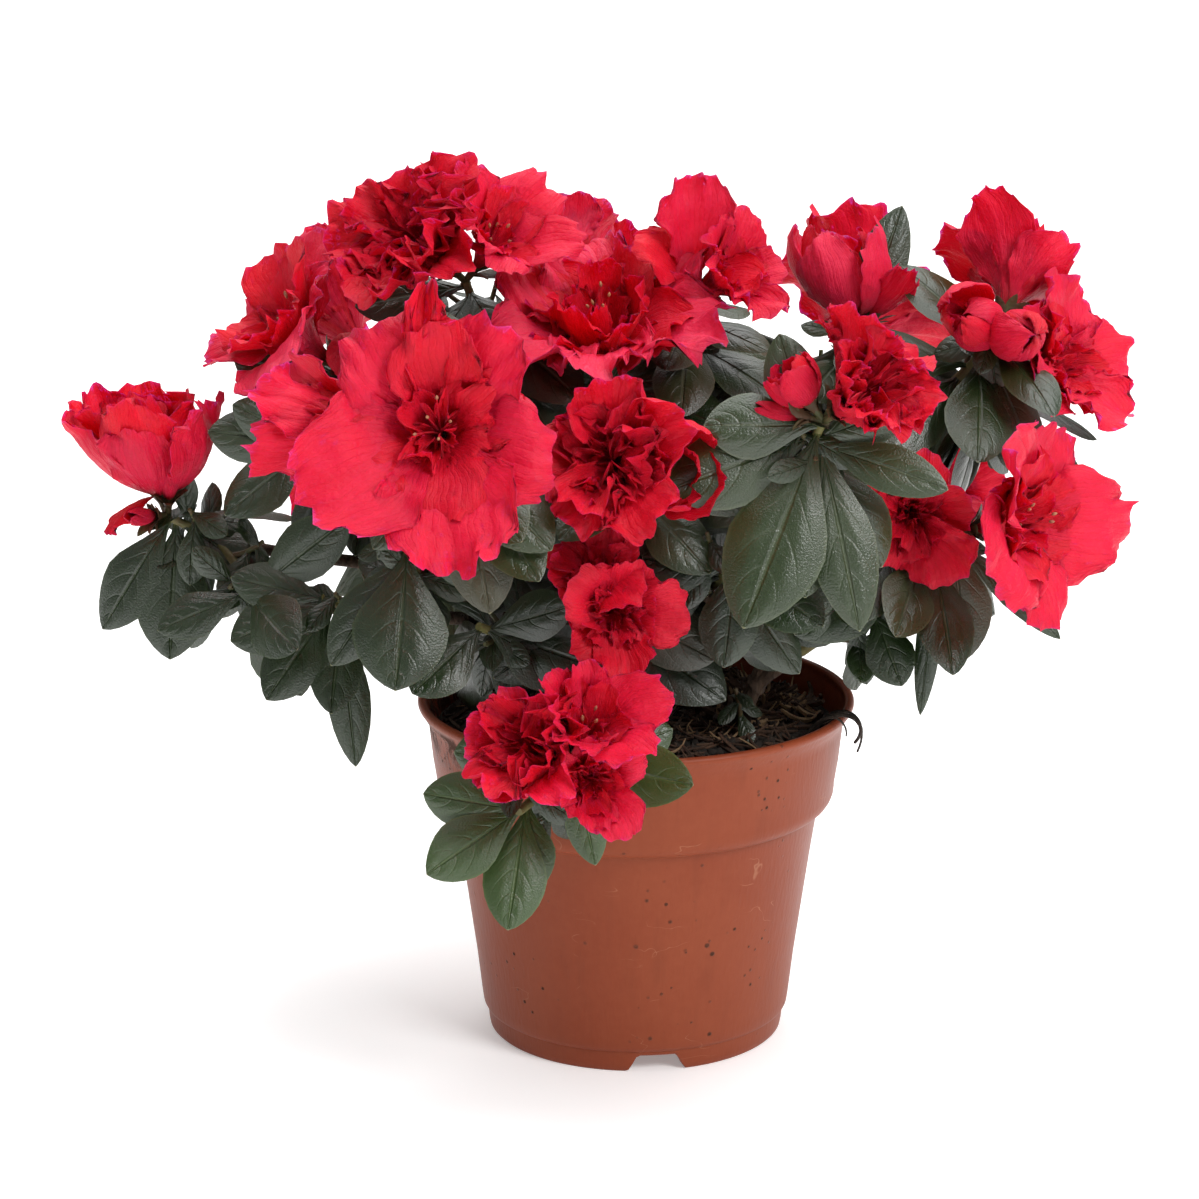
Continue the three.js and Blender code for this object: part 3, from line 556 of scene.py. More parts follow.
def potMaterial(look):
    material, tree, shader = newMaterial("potPlastic", Roughness=0.5, Specular_IOR_Level=0.2)
    place = objectPlace(tree)
    mottle = mottled(tree, place, look["base"], look["worn"], 26.0, 420.0, 0.55)
    streak = ramp(tree, noise(tree, objectPlace(tree, (1, 1, 0.12)), 150.0, 3.0), 0.52, 0.8)
    colour = mixColor(tree, times(tree, streak, 0.35), mottle["Color"], look["shade"])
    # specks of soil in patches, and a few bigger blots
    patch = ramp(tree, noise(tree, place, 55.0, 3.0), 0.53, 0.66)
    specks = times(tree, dots(tree, place, 330.0, 0.10, 0.20), patch)
    few = ramp(tree, noise(tree, place, 31.0), 0.46, 0.56)
    blots = times(tree, dots(tree, place, 120.0, 0.05, 0.11), few)
    # darker in broken patches just under the rim, on the left side
    parts = partsOf(tree, place)
    nearRim = times(tree, ramp(tree, parts["Z"], 0.076, 0.089), fall(tree, parts["Z"], 0.0905, 0.0935))
    leftSide = fall(tree, parts["X"], -0.046, -0.030)
    brokenPatches = ramp(tree, noise(tree, objectPlace(tree, (1, 1, 0.55)), 170.0, 6.0, 0.7), 0.44, 0.56)
    darkBandLeft = times(tree, times(tree, nearRim, leftSide), brokenPatches)
    dirt = maths(tree, "MAXIMUM", maths(tree, "MAXIMUM", specks, blots), darkBandLeft)
    # pale scuffs: thin wandering lines where the noise crosses one level
    line = noise(tree, objectPlace(tree, (1, 1, 2.2)), 46.0, 2.0, 0.5, 0.8)
    thin = fall(tree, maths(tree, "ABSOLUTE", maths(tree, "SUBTRACT", line, 0.5)), 0.0, 0.006)
    scuff = times(tree, thin, ramp(tree, noise(tree, place, 70.0, 2.0), 0.56, 0.64))
    colour = mixColor(tree, times(tree, scuff, 0.5), colour, look["dust"])
    soiled = times(tree, dirt, 0.85)
    tree.links.new(mixColor(tree, soiled, colour, look["soil"]), shader.inputs["Base Color"])
    rough = maths(tree, "MULTIPLY_ADD", mottle["Mask"], 0.10, 0.40)
    tree.links.new(maths(tree, "MAXIMUM", rough, soiled), shader.inputs["Roughness"])
    fine = noise(tree, objectPlace(tree, (1, 1, 0.25)), 900.0, 2.0)
    bump(tree, shader, maths(tree, "MULTIPLY_ADD", dirt, 0.6, times(tree, fine, 0.25)), 0.0004)
    return material


finishes["potPlastic"] = potMaterial(potLook)
print("finishes made:", len(finishes))


potShape = {
    "rim": 60.0, "lipInner": 57.2, "collarTop": 56.9, "collarFoot": 54.8, "collarZ": 70.0,
    "bodyTop": 50.6, "stepZ": 65.0, "bodyFoot": 42.4, "footZ": 6.3, "foot": 41.2, "wall": 1.5,
    "notches": 3, "notchTurn": -82.0, "notchMouth": 17.0, "notchRoof": 10.0, "notchHeight": 5.4,
    "sides": 240, "padRadius": 15.0, "drains": 6, "drainRing": 27.0, "drainRadius": 3.2,
}


# The wall's profile, from the middle of the floor up the inside, over the rolled rim, down the
# outside and in under the foot. Each corner is rounded.
def potProfile(p):
    top, floorTop = potHigh[2], p["footZ"] + p["wall"]
    pad, wall, bodyFoot, footZ, foot = p["padRadius"], p["wall"], p["bodyFoot"], p["footZ"], p["foot"]
    inside = [
        (pad - 0.6, wall), (pad + 2, floorTop), (bodyFoot - wall - 1, floorTop),
        (bodyFoot - wall, footZ + 3), (p["bodyTop"] - wall, p["stepZ"] - 2),
        (p["collarFoot"] - wall - 0.2, p["collarZ"]),
        (p["collarTop"] - wall, top - 8), (p["lipInner"] - 0.2, top - 3.0),
    ]
    bead = np.radians(np.linspace(200, -60, 12))
    rim = [(p["rim"] - 1.3 + 1.3 * np.cos(a), top - 1.3 + 1.3 * np.sin(a)) for a in bead]
    rim += [(p["rim"] - 1.2, top - 3.4), (p["rim"] - 1.9, top - 4.6), (p["collarTop"] + 0.2, top - 6.2)]
    collar = [(p["collarTop"], top - 8), (55.9, 78.0), (p["collarFoot"], p["collarZ"] + 1)]
    quarter = np.linspace(0, np.pi / 2, 7)
    step, rise = p["collarFoot"] - p["bodyTop"], p["collarZ"] - p["stepZ"]
    collar += [(p["bodyTop"] + step * np.cos(a), p["collarZ"] - rise * np.sin(a)) for a in quarter]
    body = [
        (p["bodyTop"] - 0.15, p["stepZ"] - 0.5), (48.5, 52.0), (46.2, 36.0), (44.2, 22.0),
        (bodyFoot + 0.35, footZ + 3.4), (bodyFoot, footZ + 1.0), (bodyFoot - 0.5, footZ),
    ]
    skirt = [
        (foot + 0.1, footZ - 0.4), (foot, footZ - 1.2), (foot - 0.3, 2.0), (foot - 0.6, 0.5),
        (foot - 1.1, 0.0), (foot - 2.1, 0.0), (foot - 2.5, 0.5), (foot - 2.9, footZ - 1.2),
        (foot - 3.6, footZ - 0.6),
    ]
    under = [(pad + 0.4, footZ - 0.6), (pad, footZ - 1.2), (pad - 1.4, 0.3), (pad - 2.0, 0.0)]
    return np.array(inside + rim + collar + body + skirt + under)


# The pot is its profile turned round +Z. In each notch the skirt's low points rise to the notch's
# roof, whose height falls smoothly from the roof's width to the mouth's.
def potBody(p):
    part = lathe(potProfile(p), p["wall"], 0.0, p["sides"])
    points = part["points"]
    out = np.hypot(points[:, 0], points[:, 1])
    turn = np.degrees(np.arctan2(points[:, 1], points[:, 0]))
    spacing = 360 / p["notches"]
    off = (turn - p["notchTurn"] + spacing / 2) % spacing - spacing / 2
    across = np.abs(np.radians(off)) * p["foot"]
    roof = p["notchHeight"] * smooth(p["notchMouth"] / 2, p["notchRoof"] / 2, across)
    inSkirt = (out > p["foot"] - 3.2) & (points[:, 2] < p["footZ"] - 1.0)
    risen = np.maximum(points[:, 2], roof * (0.85 + 0.15 * points[:, 2] / p["footZ"]))
    points[:, 2] = np.where(inSkirt, risen, points[:, 2])
    return part


# Round holes through the pot's floor, as one mesh of upright rods to cut it with.
def drainRods(p):
    turn = 2 * np.pi * np.arange(p["drains"]) / p["drains"]
    x, y = p["drainRing"] * np.cos(turn), p["drainRing"] * np.sin(turn)
    lines = np.stack([np.stack([x, y, 0 * x + z], axis=-1) for z in (1.0, 5.0, 12.0)], axis=1)
    return tubes(lines, np.full((p["drains"], 3), p["drainRadius"]), 24)


# Cuts one piece out of another, and leaves the result as the first piece's own mesh.
def cutOut(piece, cutter):
    modifier = piece.modifiers.new("cut", "BOOLEAN")
    modifier.object, modifier.operation, modifier.solver = cutter, "DIFFERENCE", "EXACT"
    bpy.context.view_layer.update()
    mesh = bpy.data.meshes.new_from_object(piece.evaluated_get(bpy.context.evaluated_depsgraph_get()))
    piece.modifiers.remove(modifier)
    piece.data = mesh
    bpy.data.objects.remove(cutter)


pot = makePiece("potShell", [potBody(potShape)], [finishes["potPlastic"]], ["pot"], sharpAngle=42)
cutOut(pot, makePiece("drainRods", [drainRods(potShape)], [finishes["potPlastic"]]))

soilShape = {
    "radius": 55.0, "flat": 42.0, "drop": 3.0, "relief": 1.7, "crumbs": 620, "chips": 300, "roots": 90,
    "bigChips": 44, "bigRoots": 16, "heapAt": (34, 4), "heapRadius": 17.0, "crumbReach": 52.5,
    "fibreReach": 53.0,
}


# The peat's level at a distance from its middle: flat, and then falling smoothly to its edge.
def peatLevel(s, out):
    return soilTop - s["drop"] * smooth(s["flat"], s["radius"], out)


# Peat: a closed disc with soft lumps in three sizes on its top.
def makeSoil(s):
    radius = np.concatenate([np.linspace(0.8, s["flat"], 46), np.linspace(s["flat"] + 1, s["radius"], 14)])
    top = np.stack([radius, peatLevel(s, radius) - 0.8], axis=-1)
    under = np.array([[s["radius"], soilTop - 12.0], [s["radius"] - 4, soilTop - 14.0]])
    part = lathe(np.concatenate([top, under]), soilTop - 0.8, soilTop - 14.0, 220)
    points = part["points"]
    bumps = lumpy(points, 14, 3) * 0.5 + lumpy(points, 5, 4) * 0.35 + lumpy(points, 2.2, 5) * 0.3
    onTop = (np.hypot(points[:, 0], points[:, 1]) < s["radius"] - 0.5) & (points[:, 2] > soilTop - 8)
    points[:, 2] += np.where(onTop, s["relief"] * bumps, 0)
    return part


# Crumbs: small balls of five rings, each squashed and lumped its own way, on the peat.
def makeCrumbs(s, chance):
    ring = np.linspace(0, 2 * np.pi, 6, endpoint=False)
    rows = [(0.05, -1), (0.8, -0.5), (1, 0.1), (0.6, 0.75), (0.05, 1)]
    ball = np.array([[[r * np.cos(a), r * np.sin(a), z] for a in ring] for r, z in rows])
    number = np.arange(30).reshape(5, 6)
    faces = quadsOf(np.concatenate([number, number[:, :1]], axis=1))[:, ::-1]
    caps = np.array([[0, k + 1, k] for k in range(1, 5)] + [[24, k, k + 1] for k in range(25, 29)])
    count = s["crumbs"]
    size = chance.uniform(0.5, 1.9, (count, 1, 1)) * chance.uniform(0.5, 1.4, (count, 1, 3))
    turn, out = chance.uniform(0, 2 * np.pi, count), s["crumbReach"] * np.sqrt(chance.uniform(0, 1, count))
    place = np.stack([out * np.cos(turn), out * np.sin(turn), peatLevel(s, out) - 0.3], -1)
    lumps = 1 + 0.25 * chance.normal(size=(count, 30, 1))
    points = ball.reshape(1, -1, 3) * size * lumps + place[:, None]
    return {
        "points": points.reshape(-1, 3), "uvs": np.zeros((count * 30, 2)),
        "faces": [(repeated(faces, count, 30), 0), (repeated(caps, count, 30), 0)],
    }


# Fibres on the peat: each is an arc of its own length and curl about a place, tipped up at its ends.
def makeFibres(s, places, length, thick, curl, lift, chance, material):
    count = len(places)
    heading, size = chance.uniform(0, 2 * np.pi, count), chance.uniform(*length, count)
    t = np.linspace(-0.5, 0.5, 11)
    angle = heading[:, None] + chance.uniform(-curl, curl, count)[:, None] * t
    step = size[:, None] / 10
    x, y = np.cumsum(np.cos(angle) * step, axis=1), np.cumsum(np.sin(angle) * step, axis=1)
    x, y = x - x[:, 5:6] + places[:, :1], y - y[:, 5:6] + places[:, 1:]
    squeeze = np.minimum(1, s["fibreReach"] / np.maximum(np.hypot(x, y), 1))
    z = peatLevel(s, np.hypot(x, y) * squeeze) + 0.4
    z = z + chance.uniform(0, lift, (count, 1)) * (4 * t**2 + chance.uniform(-0.4, 0.8, (count, 1)) * t)
    lines = np.stack([x * squeeze, y * squeeze, z], axis=-1)
    radii = chance.uniform(*thick, (count, 1)) * (1 - 0.5 * np.abs(2 * t) ** 2)
    return tubes(lines, radii, 5, material)


# Places spread evenly over a disc.
def scattered(count, middle, radius, chance):
    turn, out = chance.uniform(0, 2 * np.pi, count), radius * np.sqrt(chance.uniform(0, 1, count))
    return np.stack([middle[0] + out * np.cos(turn), middle[1] + out * np.sin(turn)], axis=-1)


# Dry roots that stray over the rim: a Bezier from the peat, up over the rim and down outside.
strayRoots = [  # turn round the pot, how far it reaches out and down, its radius
    (-24, 6.5, 7.0, 0.75), (-20, 5.0, 11.0, 0.5), (-28, 3.0, 4.0, 0.4), (158, 4.0, 5.0, 0.45),
]


def makeStrayRoots():
    lines, radii = [], []
    for turn, reach, drop, thick in strayRoots:
        out, side = direction(turn, 0), direction(turn + 90, 0)
        high = potHigh[2]
        over = out * (62 + reach * 1.6) + up * (high + 3) - side * 5
        end = out * (61 + reach * 0.3) + up * (high - drop) + side * 4
        corners = [out * 50 + up * (soilTop - 1.5), out * 57 + up * (high + 6) + side * 3, over, end]
        lines.append(bezier(corners, 22))
        radii.append(thick * np.linspace(1.1, 0.6, 22))
    return tubes(np.array(lines), np.array(radii), 6, 0)


chance = np.random.default_rng(11)
chips = scattered(soilShape["chips"], (0, 0), 50, chance)
roots = scattered(soilShape["roots"], (0, 0), 50, chance)
heap, curls = [
    scattered(soilShape[key], soilShape["heapAt"], soilShape["heapRadius"], chance)
    for key in ("bigChips", "bigRoots")]
soilParts = [
    makeSoil(soilShape), makeCrumbs(soilShape, chance),
    makeFibres(soilShape, chips, (6, 22), (0.25, 0.75), 1.2, 3.0, chance, 1),
    makeFibres(soilShape, roots, (6, 16), (0.2, 0.5), 4.5, 4.0, chance, 2),
    makeFibres(soilShape, heap, (10, 24), (0.6, 1.3), 1.0, 5.0, chance, 1),
    makeFibres(soilShape, curls, (9, 17), (0.6, 1.1), 4.0, 6.0, chance, 2), makeStrayRoots(),
]
soilFinishes = [finishes[name] for name in ("peat", "barkChip", "paleRoot")]
makePiece("peatTop", soilParts, soilFinishes, ["soil"])


trunk = {"foot": (-3, 3), "head": (2, 0, 125), "flare": 8.2, "radius": 5.4, "tip": 3.4}
sideStem = {"foot": (28, -17), "head": (37, -16, 119), "flare": 3.6, "radius": 2.4, "tip": 1.9}
boughShape = {  # radii at both ends and the swelling at its foot, and where a mass's own stem takes over
    "base": 2.3, "tip": 1.6, "swell": 1.1, "stem": 26.0,
}

# Each mass grows from a stem at a share of its height, and has one shoot or two: (tip, leaves,
# blooms). The first ends the bough's line and the second forks from it. A bloom is [turn, lift,
# petal length, opening], in degrees and millimetres: turn is round from +X, lift is above level,
# and an opening under 20 is a bud.
massTable = {
    "far_left": ("trunk", 0.62, [
        ((-127, -5, 147), 12, [[172, 72, 37, 48], [285, 62, 16, 10], [240, 12, 13, 10]]),
        ((-106, -24, 131), 9, [])]),
    "upper_left": ("trunk", 0.74, [
        ((-79, 2, 185), 11, [[205, 42, 41, 82], [276, 33, 24, 40]]),
        ((-88, -16, 171), 7, [])]),
    "front_left": ("trunk", 0.66, [
        ((-50, -53, 180), 13, [[268, 21, 47, 87], [184, 8, 43, 34]])]),
    "top_left": ("trunk", 0.9, [
        ((-46, 3, 210), 11, [[226, 38, 35, 74], [312, 46, 30, 62]])]),
    "top_centre": ("trunk", 0.97, [
        ((-8, 0, 184), 12, [[262, 62, 42, 78]]),
        ((-16, 42, 202), 8, [[100, 12, 26, 70]])]),
    "top_right": ("trunk", 0.93, [
        ((14, 6, 203), 10, [[280, 48, 35, 50], [318, 34, 26, 54]])]),
    "right_crown": ("trunk", 0.84, [
        ((59, 8, 193), 11, [[150, 76, 30, 30], [8, 56, 25, 52]])]),
    "front_right": ("side_stem", 0.9, [
        ((48, -50, 184), 14, [[305, 32, 27, 54], [21, 57, 28, 60], [183, 54, 15, 24], [180, 12, 13, 10]])]),
    "far_right_crown": ("trunk", 0.78, [
        ((97, -4, 197), 9, [[70, 36, 33, 72], [240, 22, 28, 27], [285, 12, 28, 27]]),
        ((100, 10, 180), 8, [[322, 25, 31, 78]])]),
    "far_right": ("side_stem", 0.74, [
        ((85, -25, 148), 12, [[320, 16, 43, 80]]),
        ((72, -12, 152), 8, [[272, 5, 26, 68]])]),
    "centre": ("trunk", 0.58, [
        ((-2, -41, 169), 12, [[256, 20, 30, 74], [300, 12, 27, 28]])]),
    "lower_centre": ("trunk", 0.4, [
        ((-10, -41, 134), 11, [[284, 2, 25, 66], [266, 42, 22, 66]])]),
    "front_low": ("trunk", 0.2, [
        ((-17, -70, 97), 9, [[234, 30, 29, 58], [290, 50, 30, 50], [286, 4, 22, 58]]),
        ((-31, -75, 86), 7, [])]),
    "left_low": ("trunk", 0.44, [
        ((-84, -30, 131), 9, []),
        ((-61, -50, 151), 8, [])]),
    "rim_left": ("trunk", 0.3, [((-42, -40, 126), 10, [])]),
    "rim_right": ("side_stem", 0.45, [((64, -30, 128), 12, [])]),
    "inner_right": ("trunk", 0.52, [((26, -46, 146), 11, [])]),
    "back_left": ("trunk", 0.7, [
        ((-72, 50, 174), 12, [[140, 40, 40, 80]])]),
    "back_centre": ("trunk", 0.86, [
        ((-8, 72, 172), 12, [[95, 35, 38, 80]])]),
    "back_right": ("trunk", 0.8, [
        ((56, 56, 174), 12, [[60, 35, 40, 78]])]),
    "back_low_left": ("trunk", 0.5, [
        ((-64, 66, 130), 12, [[130, 15, 32, 72]])]),
    "back_low": ("trunk", 0.35, [
        ((6, 80, 120), 12, [[80, 20, 30, 60]])]),
    "back_low_right": ("trunk", 0.47, [
        ((72, 46, 134), 12, [[35, 18, 32, 72]])]),
}
masses = [
    {"name": name, "from": stem, "at": at, "shoots": shoots}
    for name, (stem, at, shoots) in massTable.items()]


# A stem rises upright from the peat and then leans to its head.
def stemLine(spec):
    x, y = spec["foot"]
    ground, end = soilTop + gap, np.array(spec["head"], float)
    rise = end[2] - ground
    below, low = (x, y, ground - 6), (x, y, ground + rise * 0.35)
    return bezier([below, low, (end[0], end[1], ground + rise * 0.6), end], 90)


# Its radius: a straight taper plus a flare that dies away as exp(-9 share).
def stemRadius(spec, share):
    taper = spec["tip"] + (spec["radius"] - spec["tip"]) * (1 - share)
    return taper + (spec["flare"] - spec["radius"]) * np.exp(-share * 9)


# Away from the plant's heart, lifted a little.
def aimOf(tip):
    return unit(unit(tip - heart) + 0.3 * up)


# A bough rises out of its stem and arrives along its first shoot's own aim.
def boughLine(start, tip):
    reach = np.linalg.norm(tip - start)
    outward = unit(np.array([tip[0] - start[0], tip[1] - start[1], 0]))
    leaving = unit(outward * 0.75 + up * 0.65)
    return bezier([start, start + leaving * reach / 3, tip - aimOf(tip) * reach / 3, tip], 90)


stems = {"trunk": trunk, "side_stem": sideStem}
stemLines = {name: stemLine(spec) for name, spec in stems.items()}
for index, mass in enumerate(masses):
    mass["random"] = seeded(index + 1)
    tips = [np.array(tip, float) for tip, leaves, blooms in mass["shoots"]]
    start = pointsAt(stemLines[mass["from"]], 0.15 + 0.85 * mass["at"])
    line = boughLine(start, tips[0])
    end = 1 - boughShape["stem"] / lengthOf(line)
    mass["bough"] = pointsAt(line, np.linspace(0, end, 24))
    mass["lines"] = [pointsAt(line, np.linspace(end, 1, 24))]
    for tip in tips[1:]:
        fork = pointsAt(line, end + (1 - end) * 0.55)
        mass["lines"].append(bezier([fork, tip - aimOf(tip) * np.linalg.norm(tip - fork) / 2, tip], 24))

# Bark: a tube whose radius is scaled by 1 + ridge * noise drawn out 6 times along it + lump * noise.
barkShape = {"ridge": 0.10, "lump": 0.07, "ridgeSize": 3.0, "lumpSize": 11.0}


def barkTube(line, radii, sides, seed):
    steps = len(line)
    angle = np.linspace(0, 2 * np.pi, sides, endpoint=False)
    shares = np.linspace(0, 1, steps) * lengthOf(line)
    a, s = np.meshgrid(angle, shares)
    r = radii[:, None]
    place = np.stack([r * np.cos(a), r * np.sin(a), s / 6], axis=-1)
    ridges = lumpy(place, barkShape["ridgeSize"], seed)
    lumps = lumpy(place * [1, 1, 6], barkShape["lumpSize"], seed + 1)
    relief = 1 + barkShape["ridge"] * ridges + barkShape["lump"] * lumps
    return tubes(line[None], radii[None], sides, 0, relief[None])


woodParts = []
for seed, (name, spec) in enumerate(stems.items()):
    shares = np.linspace(0, 1, 70)
    woodParts.append(barkTube(pointsAt(stemLines[name], shares), stemRadius(spec, shares), 28, 20 + seed))
for seed, mass in enumerate(masses):
    shares = np.linspace(0, 1, 46)
    radii = boughShape["base"] + (boughShape["tip"] - boughShape["base"]) * shares
    radii = radii + boughShape["swell"] * np.exp(-shares * 14)
    woodParts.append(barkTube(pointsAt(mass["bough"], shares), radii, 12, 40 + seed))
makePiece(
    "trunkAndBoughs", woodParts, [finishes["bark"]],
    ["trunk", "side_stem"] + ["bough_" + mass["name"] for mass in masses])

# A petal is a disc drawn out to a claw. On a grid of t across and q along, both from -1 to 1, it
# lies across by t sqrt(1 - q^2 / 2) and along by q sqrt(1 - t^2 / 2), so that its edge is round.
# Its middle line leaves the axis at angle a0 and bends evenly to a1: at share y it is ahead by
# L (sin a - sin a0) / (a1 - a0) and out by L (cos a0 - cos a) / (a1 - a0). Off that funnel it has
# a cup, a lap over its neighbour, long ruffles and crimps that grow towards its free edge.
petalShape = {
    "outerGrid": (17, 37), "innerGrid": (12, 21), "thick": 0.3, "claw": 0.17, "notch": 0.035,
    "folds": 13.0, "creases": 5.0, "facesInPiece": 90000,
}


def petalSheets(p, rows, columns, seed=3):
    at = {key: np.asarray(value, float)[:, None, None] for key, value in p.items() if np.ndim(value) == 1}
    q = np.linspace(-1, 1, rows)[None, :, None]
    t = (np.sin(np.linspace(-1, 1, columns) * 1.35) / np.sin(1.35))[None, None, :]
    across, y = t * np.sqrt(1 - q**2 / 2), (q * np.sqrt(1 - t**2 / 2) + 1) / 2
    free = smooth(0.2, 0.6, y)  # the share of the blade that is free of its neighbours
    edge = np.maximum(np.abs(t), np.clip(q, 0, 1))  # 1 on the edge
    along = np.arctan2(across, 2 * y - 0.7)  # how far round the edge a point lies
    rough = np.random.default_rng(seed).uniform(-1, 1, (len(at["length"]), rows, columns))
    fine = np.sin(at["waves"] * 3.1 * along + at["phase3"])
    crimp = fine * (0.6 + 0.4 * np.sin(at["waves"] * 0.9 * along)) + 0.4 * rough
    jag = at["jag"] * edge**14 * free * crimp
    notch = petalShape["notch"] * np.exp(-((across / 0.16) ** 2)) * smooth(0.6, 1, y)
    y = y * (1 + jag) - notch + at["lean"] * across * y**2
    a0, a1 = np.radians(at["start"]), np.radians(at["opening"])
    bend = np.where(np.abs(a1 - a0) < 0.05, 0.05, a1 - a0)
    angle = a0 + bend * y
    ahead = at["length"] * (np.sin(angle) - np.sin(a0)) / bend
    out = at["length"] * (np.cos(a0) - np.cos(angle)) / bend + 0.5
    claw = petalShape["claw"] + (1 - petalShape["claw"]) * smooth(-0.05, at["full"], y)
    broad = at["width"] * at["length"] * claw
    spread = np.clip(broad / np.maximum(out, 0.2), 0, at["wrap"]) * across * (1 + jag)
    wave = np.sin(at["waves"] * along + at["phase1"])
    wave = wave + 0.4 * np.sin(at["waves"] * 2.3 * along + at["phase2"])
    vein = 0.024 * np.exp(-((across / 0.10) ** 2)) * y * (1 - 0.7 * y)
    pleats = 0.006 * np.sin(27 * across + 3 * y + at["phase2"]) * y * np.abs(at["ruffle"]) / 0.04
    frill = 0.4 * np.sin(at["waves"] * 3.1 * along + at["phase3"] + 1.2) + 0.2 * rough
    high = at["length"] * (
        at["cup"] * (across**2 - 0.3) * y + at["lap"] * across * free + at["ruffle"] * edge**3 * free * wave
        + at["ruffle"] * edge**8 * free * frill + pleats - vein - at["roll"] * edge**5 * free)
    ahead = ahead + high * np.sin(angle)
    out = np.maximum(out - high * np.cos(angle), 0.15)
    turn = np.radians(at["turn"]) + spread + at["swirl"] * y
    base, facing, side, other = [p[key][:, None, None] for key in ("base", "facing", "side", "other")]
    points = base + facing * ahead[..., None] + roundAxis(side, other, turn[..., None]) * out[..., None]
    folds = shaken(points, petalShape["folds"], (71, 72, 73))
    creases = shaken(points, petalShape["creases"], (74, 75, 76))
    return points + (folds + 0.3 * creases) * (at["crumple"] * at["length"] * y**1.5)[..., None]


# What each sort of bloom is made of: whorls of petals, from the outside in. A whorl's length is a
# share of the bloom's, its petals leave the axis at start degrees and end at a share, opening, of
# the bloom's own opening, and width is half their breadth as a share of their length. cup, ruffle
# and roll are heights off the petal's funnel, as shares of its length, and turn, where given, aims a whorl.
whorlKeys = ("count", "length", "start", "opening", "width", "cup", "ruffle", "roll", "turn")
whorls = {
    "open": [  # a wide saucer of broad petals round a bowl of smaller ones, and one narrow petal
        (5, 0.93, 28, 1.00, 0.50, 0.02, 0.055, 0.07),
        (4, 0.72, 24, 0.74, 0.46, 0.08, 0.070, 0.08),
        (4, 0.50, 22, 0.36, 0.46, 0.08, 0.100, 0.12),
        (3, 0.38, 12, 0.20, 0.40, 0.10, 0.100, 0.06),
        (1, 0.96, 26, 0.92, 0.13, 0.05, 0.110, 0.00, 98),
    ],
    "double": [
        (5, 1.00, 14, 1.00, 0.54, 0.06, 0.050, 0.05),
        (5, 0.80, 14, 0.70, 0.50, 0.10, 0.060, 0.00),
        (5, 0.66, 16, 0.40, 0.46, 0.10, 0.080, 0.05),
        (3, 0.50, 12, 0.18, 0.40, 0.10, 0.090, 0.00),
    ],
    "crowned": [  # a saucer with a tall tube of petals standing in it
        (6, 0.93, 34, 1.00, 0.46, 0.05, 0.075, 0.04),
        (5, 0.80, 30, 0.80, 0.46, 0.08, 0.080, 0.00),
        (5, 0.66, 42, 0.07, 0.52, 0.02, 0.040, 0.05),
        (4, 0.52, 28, 0.05, 0.46, 0.03, 0.050, 0.04),
    ],
    "tight": [  # many short crimped petals, as a bloom that is still unfolding
        (5, 1.00, 14, 1.00, 0.56, 0.12, 0.070, -0.05),
        (6, 0.94, 14, 0.74, 0.46, 0.15, 0.085, -0.05),
        (6, 0.80, 34, 0.36, 0.40, 0.12, 0.100, 0.00),
        (5, 0.66, 24, 0.14, 0.36, 0.10, 0.100, 0.00),
    ],
    "cup": [  # upright broad petals that still hold together, and one that has dropped
        (5, 0.96, 74, -0.10, 0.58, 0.00, 0.045, 0.04),
        (4, 0.98, 60, 0.00, 0.50, 0.02, 0.060, 0.00),
        (3, 0.80, 44, 0.00, 0.46, 0.04, 0.060, 0.00),
        (1, 0.66, 98, 2.40, 0.25, -0.04, 0.050, 0.05, 185),
    ],
    "tulip": [  # an egg of overlapping petals, not open yet
        (4, 1.00, 76, -1.10, 0.58, 0.01, 0.018, 0.02),
        (4, 0.94, 62, -1.20, 0.44, 0.03, 0.020, 0.00),
    ],
    "half": [  # long smooth petals that close over their own tips
        (4, 1.00, 66, -2.50, 0.50, 0.02, 0.014, 0.00),
        (3, 0.90, 52, -2.20, 0.44, 0.03, 0.020, 0.00),
    ],
    "fan": [  # one broad petal that stands up behind two spreading ones
        (1, 1.00, 36, 0.60, 0.42, 0.04, 0.045, 0.06, 88),
        (2, 0.66, 30, 1.30, 0.34, 0.05, 0.060, 0.05, -50),
    ],
    "few": [  # a bloom that is nearly over, with a few narrow petals left
        (2, 1.00, 30, 1.00, 0.26, 0.05, 0.050, 0.05, 0),
        (2, 0.70, 20, 0.60, 0.24, 0.05, 0.050, 0.00),
    ],
    "bud": [
        (3, 1.00, 26, -2.10, 0.42, 0.00, 0.000, 0.00),
        (2, 0.90, 26, -2.00, 0.40, 0.00, 0.000, 0.00),
    ],
    "loose": [  # petals that stand apart, each a spoon of its own
        (5, 1.00, 14, 1.00, 0.38, -0.03, 0.030, 0.04),
        (5, 0.76, 14, 0.66, 0.40, 0.08, 0.050, 0.00),
        (3, 0.55, 14, 0.30, 0.36, 0.10, 0.070, 0.00),
    ],
}
